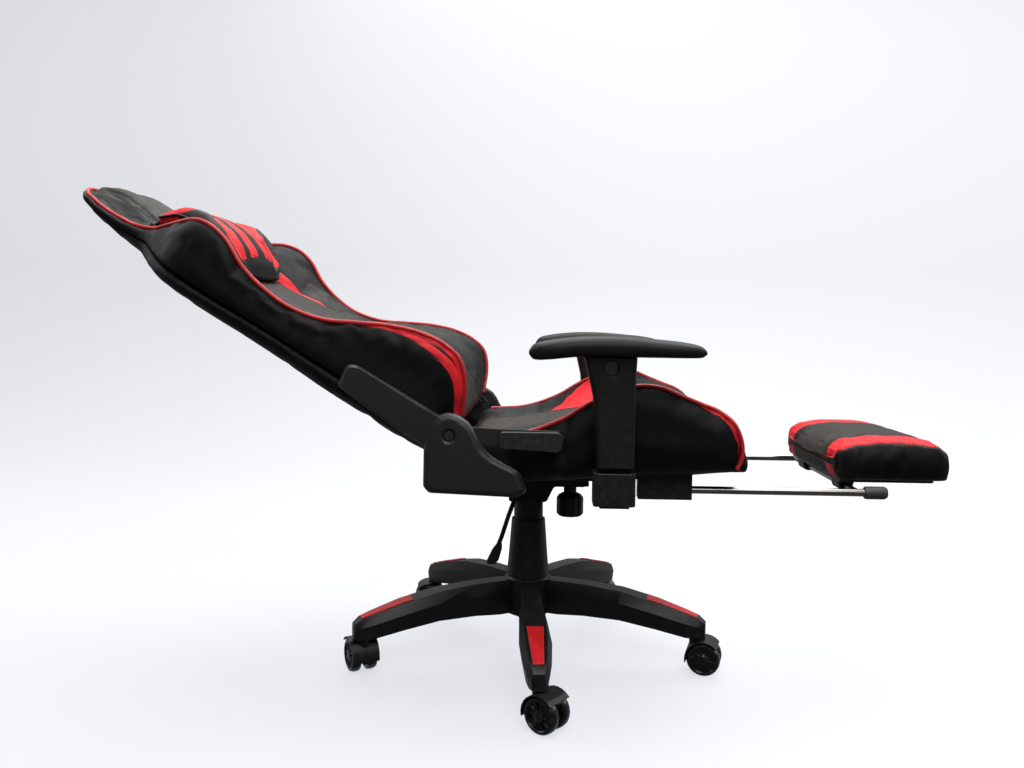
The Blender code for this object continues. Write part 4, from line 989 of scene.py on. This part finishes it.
# share of the seat's depth, half-width inset, side edge height, centre height
SEAT_STATIONS = np.array([
    (0.000, 0.024, 0.4330, 0.4220), (0.020, 0.012, 0.4420, 0.4280), (0.090, 0.004, 0.4470, 0.4320),
    (0.200, 0.001, 0.4515, 0.4370), (0.285, 0.000, 0.4620, 0.4430), (0.370, 0.000, 0.4790, 0.4500),
    (0.475, 0.000, 0.5080, 0.4570), (0.605, 0.000, 0.5315, 0.4640), (0.690, 0.000, 0.5315, 0.4700),
    (0.775, 0.000, 0.5170, 0.4750), (0.865, 0.001, 0.4995, 0.4790), (0.938, 0.001, 0.4820, 0.4750),
    (0.978, 0.004, 0.4560, 0.4620), (1.000, 0.010, 0.4240, 0.4370)])


def seat_half(share):
    inset, edge, centre = through(SEAT_STATIONS[:, 0], SEAT_STATIONS[:, 1:], share)[0]
    half = SEAT_HALF_WIDTH - inset
    low = SEAT_LOW + SEAT_SLOPE * (SEAT_REAR + share * SEAT_SPAN)
    deep, shelf = edge - low, SEAT_SHELF * half
    under = [(0, low), (0.5 * half, low), (0.93 * half, low)]
    flank = [(0.93 * half, low), (half - 0.004, low + 0.10 * deep),
             (half - 0.0015, low + 0.5 * deep),
             (half - 0.004, edge - 0.14 * deep), (half - 0.012, edge - 0.001)]
    wing = [(half - 0.012, edge - 0.001), (half - 0.040, edge - 0.19 * (edge - centre)),
            (0.5 * (half - 0.040 + shelf), centre + 0.42 * (edge - centre)),
            (shelf, centre + 0.002)]
    middle = [(shelf, centre + 0.002), (0.62 * shelf, centre + 0.0035),
              (0.3 * shelf, centre + 0.003),
              (0, centre + 0.002)]
    return half_section((under, flank, wing, middle), (6, 15, 13, 12), (1, 1.5, 1, 1))


def seat_accent(numbers, along, down):
    """The red triangle inside each wing and the red gusset at the front of each flank."""
    share = (along - SEAT_REAR) / SEAT_SPAN
    climb = numbers - 1.0
    wedge = np.minimum.reduce([((along - 0.030) / 0.090 - climb) * 0.055,
                               (0.185 - along - 0.035 * climb) * 0.9, climb * 0.08 + 0.0005])
    wedge[(numbers < 0.98) | (numbers > 1.97)] = ACCENT_OFF
    gusset = np.interp(share, [0.74, 0.82, 0.90, 0.945, 0.965, 0.985],
                       [-0.004, 0.002, 0.009, 0.022, 0.05, 0.2]) - down
    lens = 0.0045 - 0.35 * np.abs(along - 0.350) - 0.09 * np.abs(down - 0.035)
    gusset = np.minimum(gusset, -lens)
    gusset[(numbers < 2.0) | (numbers > 2.98)] = ACCENT_OFF
    return np.maximum(wedge, gusset)


# the piping's way down the front of the flank, as u and z
SEAT_PIPING_FALL = (
    (0.331, 0.474), (0.338, 0.461), (0.343, 0.446), (0.3445, 0.430), (0.342, 0.414), (0.336, 0.402))


def make_seat(place, finishes):
    shares = rows_at((0.0, 0.03, 4), (0.05, 0.95, 56), (0.962, 1.0, 7))
    pad = Padding("seat_upholstery", SEAT_REAR, SEAT_SPAN, shares, seat_half, close=(0.003, 0.003))
    piece = pad.make(place)
    numbers, _, along = pad.grid()
    share = (along - SEAT_REAR) / SEAT_SPAN
    on_seam = at_seam(numbers, 2) | at_seam(numbers, 1) | (numbers >= 3)
    held = np.where(on_seam | (share < 0.005) | (share > 0.995), 1.0, 0.0)
    puff(piece, held, 0.006)
    crest = both_seams(pad, piece, 2)
    shelf = both_seams(pad, piece, 1)
    sunlit = 0.8 * np.clip((0.8 - numbers) / 0.3, 0, 1) * np.clip(share / 0.1, 0, 1)
    mark(piece, seat_accent(numbers, along, pad.from_seam(2)), crest + shelf, sunlit)
    edge = [line[4:] for line in both_seams(pad, piece, 2, 0.0010)]
    pipes = []
    for (label, side), line in zip(SIDES, edge):
        upper = line[: int(np.sum(pad.levels[6:-2] < SEAT_REAR + 0.93 * SEAT_SPAN))]
        fall = [place(side * (0.2555 - 0.0005 * k), u, z)
                for k, (u, z) in enumerate(SEAT_PIPING_FALL)]
        path = spread(np.concatenate([upper[::4], np.array(fall)]), 120)
        pipes.append(cord_along(f"seat_piping_{label}", path, SEAT_PIPING, finishes["piping"]))
    stitches = stitched("seat_stitches", pad, piece, TOP_SEAMS, finishes["thread"])
    finish_padding(piece)
    piece.data.materials.append(finishes["leather"])
    attach(piece, "seat", "leather", "seat_cushion")
    for pipe in pipes:
        attach(pipe, "seat", "red_trim")
    attach(stitches, "seat", "leather")


# ---------------------------------------------------------------- foot pad

# share of the pad's depth, width share, thickness
FOOT_ROWS = np.array([
    (0.000, 0.86, 0.040), (0.03, 0.95, 0.054), (0.12, 1.00, 0.0635), (0.35, 1.0, 0.0670),
    (0.65, 1.0, 0.0665), (0.88, 1.0, 0.0620), (0.97, 0.95, 0.050), (1.0, 0.86, 0.034)])
FOOT_REAR, FOOT_FRONT, FOOT_LOW, FOOT_HALF = 0.525, 0.711, 0.3717, 0.1755
FOOT_RED_FROM, FOOT_RED_TO = 0.100, 0.1665


def foot_half(share):
    """One section across the chair, from one end cap to the other."""
    width, thick = (np.interp(share, FOOT_ROWS[:, 0], FOOT_ROWS[:, k]) for k in (1, 2))
    half = width * FOOT_HALF
    low = FOOT_LOW + 0.008 * max(0.0, 1 - min(share, 1 - share) / 0.02)
    under = [(0, low), (0.5 * half, low), (0.94 * half, low)]
    end = [(0.94 * half, low), (0.985 * half, low + 0.16 * thick),
           (0.995 * half, low + 0.5 * thick),
           (0.985 * half, low + 0.80 * thick), (0.955 * half, low + 0.955 * thick)]
    top = [(0.955 * half, low + 0.955 * thick), (0.8 * half, low + 0.985 * thick),
           (0.4 * half, low + thick),
           (0, low + thick)]
    return half_section((under, end, top), (8, 8, 24))


def make_foot_pad(place, finishes):
    shares = rows_at((0.0, 0.05, 5), (0.075, 0.925, 26), (0.95, 1.0, 5))
    pad = Padding("foot_pad_upholstery", FOOT_REAR, FOOT_FRONT - FOOT_REAR, shares, foot_half)
    piece = pad.make(place)
    numbers, aside, _ = pad.grid()
    held = np.where(at_seam(numbers, 1) | (numbers >= 2), 1.0, 0.0)
    near_stripe = np.abs(np.abs(aside) - FOOT_RED_FROM) < 0.004
    held = np.where(near_stripe & (numbers < 1), 0.8, held)
    puff(piece, held, 0.005, slack=-0.03)
    accent = stripe(np.abs(aside), FOOT_RED_FROM, FOOT_RED_TO)
    accent[(numbers > 1.02) & (numbers < 1.98)] = ACCENT_OFF
    caps = both_seams(pad, piece, 1)
    sunlit = 0.6 * np.clip((FOOT_RED_FROM - np.abs(aside)) / 0.02, 0, 1) * (numbers < 1)
    mark(piece, accent, caps, sunlit)
    stitches = stitched("foot_pad_stitches", pad, piece, ((1, 1, 0.6),), finishes["thread"])
    finish_padding(piece)
    piece.data.materials.append(finishes["leather"])
    attach(piece, "footrest_pad", "leather", "footrest_pad")
    attach(stitches, "footrest_pad", "leather")


# ---------------------------------------------------------------- studio


# name, place, aim, size, watts and tint; places are measured from the foot of the column
LAMPS = (
    ("ceiling", (0.9, -0.2, 3.2), (0.1, 0, 0.3), 3.6, 150.0, (1.0, 0.985, 0.96)),
    ("near_fill", (-2.2, -0.4, 2.5), (0.0, -0.1, 0.5), 2.0, 52.0, (1.0, 0.99, 0.98)),
    ("front_window", (1.2, -3.4, 2.3), (0.3, -0.3, 0.5), 2.2, 40.0, (1.0, 1.0, 1.0)),
    ("rear_window", (1.0, 3.4, 2.5), (0.3, 0.3, 0.5), 2.2, 22.0, (0.97, 0.985, 1.0)))
SWEEP_HALF_WIDTH, SWEEP_DROP, COVE = 16.0, 0.0004, 0.9


def make_studio(column):
    """A pale sweep of floor and wall, an overhead lamp and softer ones round the chair."""
    rise = [(x, 0.0) for x in (-6.0, -1.0, 1.2)]
    rise += [(1.9 + COVE * math.sin(a), COVE - COVE * math.cos(a))
             for a in np.linspace(0, math.pi / 2, 12)]
    rise += [(2.8, 5.5)]
    vertices = [(column[0] + x, column[1] + y, z - SWEEP_DROP)
                for y in (-SWEEP_HALF_WIDTH, SWEEP_HALF_WIDTH) for x, z in rise]
    count = len(rise)
    sweep = fresh_object("studio_sweep", vertices,
                         [(i, i + 1, i + 1 + count, i + count) for i in range(count - 1)])

    def draw(n):
        patch = n.noise(0.8, 2.0, 0.5)
        across = n.add("ShaderNodeSeparateXYZ",
                       {0: n.add("ShaderNodeTexCoord").outputs["Object"]}).outputs[1]
        glow = n.range(across, -1.0, 1.8, 0.72, 0.62)
        return {"Base Color": n.mix(patch, (0.225, 0.23, 0.235, 1.0), (0.24, 0.245, 0.25, 1.0)),
                "Roughness": n.range(patch, 0.2, 0.8, 0.75, 0.85), "Emission Strength": glow}
    sweep.data.materials.append(material("studio_paper", draw,
                                         Emission_Color=(0.93, 0.95, 1.0, 1.0)))
    sweep.visible_glossy = sweep.visible_diffuse = False
    foot = Vector((column[0], column[1], 0))
    for name, place, target, size, power, tint in LAMPS:
        lamp = bpy.data.lights.new(name, "AREA")
        lamp.shape, lamp.size, lamp.energy, lamp.color = "SQUARE", size, power, tint
        made = bpy.data.objects.new(name, lamp)
        made.location = Vector(place) + foot
        aim = Vector(target) + foot - made.location
        made.rotation_euler = aim.to_track_quat("-Z", "Y").to_euler()
        bpy.context.scene.collection.objects.link(made)
    world = bpy.data.worlds.new("studio_air")
    world.use_nodes = True
    n = Nodes(world.node_tree)
    shade = world.node_tree.nodes["Background"]
    toward = n.add("ShaderNodeSeparateXYZ", {0: n.add("ShaderNodeTexCoord").outputs["Generated"]})
    overhead = n.range(toward.outputs[2], 0.15, 0.9, 0.24, 0.8)
    beyond = n.range(toward.outputs[0], -0.2, 0.5, 0.30, 1.0)
    shade.inputs[0].default_value = (0.96, 0.98, 1.0, 1.0)
    seen = n.add("ShaderNodeLightPath").outputs["Is Camera Ray"]
    lit = n.sum("MULTIPLY", n.sum("MULTIPLY", overhead, beyond), 1.1)
    n.wire(n.sum("MULTIPLY_ADD", n.sum("SUBTRACT", 0.88, lit), seen, lit), shade.inputs[1])
    bpy.context.scene.world = world
    bpy.context.scene.view_settings.view_transform = "Standard"


CAMERA_TURN, CAMERA_PITCH, CAMERA_ROLL = -0.0441, 0.0699, 0.009
CAMERA_FROM_COLUMN, LENS_MM, SENSOR_MM = (-1.6413, -0.0388, 0.6312), 30.69105, 36.0


def make_camera(column):
    """Looks across the chair from the sitter's right, a little above the armrests."""
    turn, pitch, roll = CAMERA_TURN, CAMERA_PITCH, CAMERA_ROLL
    side = Vector((0.0, -1.0, 0.0))
    ahead = Vector((1.0, 0.0, 0.0))
    right = math.cos(turn) * side - math.sin(turn) * ahead
    forward = math.sin(turn) * side + math.cos(turn) * ahead
    up = Vector((0, 0, 1))
    look = math.cos(pitch) * forward - math.sin(pitch) * up
    over = math.sin(pitch) * forward + math.cos(pitch) * up
    across = math.cos(roll) * right + math.sin(roll) * over
    above = -math.sin(roll) * right + math.cos(roll) * over
    lens = bpy.data.cameras.new("camera")
    lens.sensor_width, lens.lens = SENSOR_MM, LENS_MM
    camera = bpy.data.objects.new("camera", lens)
    place = Vector(CAMERA_FROM_COLUMN) + Vector((column[0], column[1], 0))
    facing = Matrix((across, above, -look)).transposed().to_4x4()
    camera.matrix_world = Matrix.Translation(place) @ facing
    bpy.context.scene.collection.objects.link(camera)
    bpy.context.scene.camera = camera


# ---------------------------------------------------------------- the chair


# finish, width of the softened edges, nodes
HARD_PIECES = (
    ("nylon", 0.0016, ["base_star"] + [f"caster_fork_{k}" for k in range(1, 6)]),
    ("inlay", 0.0005, [f"base_inlay_{k}" for k in range(1, 6)]),
    ("black_steel", 0.0006, [
        "gas_cylinder", "mech_housing", "mech_plate", "height_lever", "back_frame",
        "arm_bracket_right", "arm_bracket_left"]),
    ("steel", 0.0004, ["gas_piston", "footrest_rods"]),
    ("cover", 0.0014, [
        "recline_lever", "recliner_pin_right", "recliner_pin_left", "back_cover_right",
        "back_cover_left"]),
    ("cover", 0.0045, ["hinge_cover_right", "hinge_cover_left"]),
    ("nylon", 0.0008, [
        "cover_lower", "cover_upper", "tension_knob", "seat_pan", "footrest_board",
        "slide_block_right", "slide_block_left", "arm_cup_right", "arm_cup_left",
        "arm_post_right", "arm_post_left", "arm_button_right", "arm_button_left",
        "hole_bezel_right", "hole_bezel_left"]),
    ("cap", 0.0008, ["rod_cap_right", "rod_cap_left"]),
    ("webbing", 0.0003, ["pillow_strap"]))


def hard_pieces(finishes):
    """Every moulded and metal piece with its finish, its softened edges and its own body."""
    bodies = {node: body for body, nodes in frame["record"]["behaviour"]["bodies"].items()
              for node in nodes}
    slots = {part["node"]: part["material_slot"] for part in frame["record"]["subparts"]}
    for finish, bevel, nodes in HARD_PIECES:
        for node in nodes:
            dressed(node, bodies[node], slots[node], finishes[finish], bevel)


def revolved(profile, middle, axis, segments):
    """Rings of one open profile of (radius, offset along the axis) turned about it."""
    across = axis.orthogonal().normalized()
    other = axis.cross(across)
    rings = []
    for radius, offset in profile:
        rings.append([middle + offset * axis + radius * (math.cos(a) * across + math.sin(a) * other)
                      for a in (2 * math.pi * k / segments for k in range(segments))])
    return rings


def skinned(shape, rings):
    """Faces over rings of points, closed at both ends."""
    loops = [[shape.verts.new(point) for point in ring] for ring in rings]
    count = len(loops[0])
    for first, second in zip(loops, loops[1:]):
        for k in range(count):
            shape.faces.new((first[k], first[(k + 1) % count], second[(k + 1) % count], second[k]))
    shape.faces.new(loops[0])
    shape.faces.new(loops[-1][::-1])


# radius and distance from the middle of the axle, from the hub over the tread to the hub cap
WHEEL_PROFILE = (
    (0.0045, 0.0062), (0.0255, 0.0062), (0.0284, 0.0072), (0.0298, 0.0098), (0.0299, 0.0150),
    (0.0294, 0.0195), (0.0278, 0.0226), (0.0255, 0.0236), (0.0232, 0.0236), (0.0222, 0.0226),
    (0.0218, 0.0186), (0.0100, 0.0186), (0.0090, 0.0192), (0.0088, 0.0226), (0.0074, 0.0236),
    (0.0030, 0.0238))
# a spoke's sections: radius, half breadth, height of its outer face
SPOKE_SECTIONS = ((0.0080, 0.0012, 0.0230), (0.0150, 0.0009, 0.0222), (0.0226, 0.0013, 0.0228))
SPOKES, SPOKE_FOOT = 10, 0.0180
AXLE_RADIUS, AXLE_HALF_LENGTH = 0.0039, 0.0065


def make_wheels(joints, finishes):
    """Twin spoked wheels with raised rims and hub caps for each caster."""
    for k in range(1, 6):
        joint = joints[f"wheel_roll_{k}"]
        middle, axis = Vector(joint["pos_m"]), Vector(joint["axis"]).normalized()
        shape = bmesh.new()
        across = axis.orthogonal().normalized()
        for side in (-1, 1):
            skinned(shape, revolved([(r, side * a) for r, a in WHEEL_PROFILE], middle, axis, 48))
            for turn in range(SPOKES):
                out = Matrix.Rotation(2 * math.pi * turn / SPOKES, 3, axis) @ across
                wide = axis.cross(out)
                sections = []
                for reach, breadth, height in SPOKE_SECTIONS:
                    centre = middle + reach * out
                    sections.append([centre + shift * breadth * wide + side * level * axis
                                     for shift, level in ((-1, SPOKE_FOOT), (1, SPOKE_FOOT),
                                                          (0.7, height), (-0.7, height))])
                skinned(shape, sections)
        axle = [(AXLE_RADIUS, -AXLE_HALF_LENGTH), (AXLE_RADIUS, AXLE_HALF_LENGTH)]
        skinned(shape, revolved(axle, middle, axis, 20))
        bmesh.ops.recalc_face_normals(shape, faces=shape.faces)
        made = fresh_object(f"spoked_wheels_{k}", [], [])
        shape.to_mesh(made.data)
        shape.free()
        made.data.materials.append(finishes["caster"])
        made.data.shade_smooth()
        made.data.set_sharp_from_angle(angle=math.radians(38))
        attach(made, f"wheels_{k}", "tyre", f"caster_wheels_{k}")


# share of the pad's length, width share, top and underside heights
PAD_ROWS = np.array([
    (0.000, 0.76, 0.5985, 0.5765), (0.030, 0.88, 0.6020, 0.5755), (0.090, 0.97, 0.6055, 0.5762),
    (0.250, 1.000, 0.6108, 0.5803), (0.500, 0.945, 0.6122, 0.5805), (0.750, 0.995, 0.6078, 0.5805),
    (0.920, 0.965, 0.6030, 0.5803), (0.975, 0.88, 0.6000, 0.5805), (1.000, 0.78, 0.5975, 0.5812)])


PAD_REAR, PAD_LENGTH, PAD_HALF_WIDTH, PAD_ASIDE = 0.0115, 0.2565, 0.045, 0.294


def arm_pad_half(share):
    width, top, low = through(PAD_ROWS[:, 0], PAD_ROWS[:, 1:], share)[0]
    half, deep = PAD_HALF_WIDTH * width, top - low
    under = [(0, low), (0.5 * half, low), (0.82 * half, low + 0.0004)]
    side = [(0.82 * half, low + 0.0004), (0.95 * half, low + 0.12 * deep),
            (half, low + 0.40 * deep),
            (0.96 * half, low + 0.72 * deep), (0.80 * half, low + 0.93 * deep)]
    crown = [(0.80 * half, low + 0.93 * deep), (0.5 * half, low + 0.985 * deep), (0, top)]
    return half_section((under, side, crown), (5, 12, 9))


def make_arm_pads(place, finishes):
    """Moulded soft armrests, waisted and crowned."""
    for label, side in SIDES:
        shares = rows_at((0.0, 0.05, 6), (0.07, 0.93, 40), (0.95, 1.0, 6))
        pad = Padding(f"soft_arm_pad_{label}", PAD_REAR, PAD_LENGTH, shares, arm_pad_half,
                      close=(0.0065, 0.0060))
        piece = pad.make(lambda x, u, z: place(side * PAD_ASIDE + x, u, z))
        finish_padding(piece)
        piece.data.materials.append(finishes["arm_pad"])
        piece.data.shade_smooth()
        attach(piece, f"arm_{label}", "arm_pad", f"arm_pad_{label}")


joints = {joint["name"]: joint for joint in frame["joints"]}
column = joints["seat_swivel"]["pos_m"][:2]
hinge = Vector(joints["back_recline"]["pos_m"])
hinge.x = column[0]


def place(x, u, z):
    return Vector((column[0] + x, column[1] - u, z))


make_studio(column)
make_camera(column)
finishes = make_finishes()
hard_pieces(finishes)
make_back(hinge, finishes)
make_rear_panel(hinge, finishes)
make_pillow(hinge, finishes)
make_seat(place, finishes)
make_foot_pad(place, finishes)
make_wheels(joints, finishes)
make_arm_pads(place, finishes)
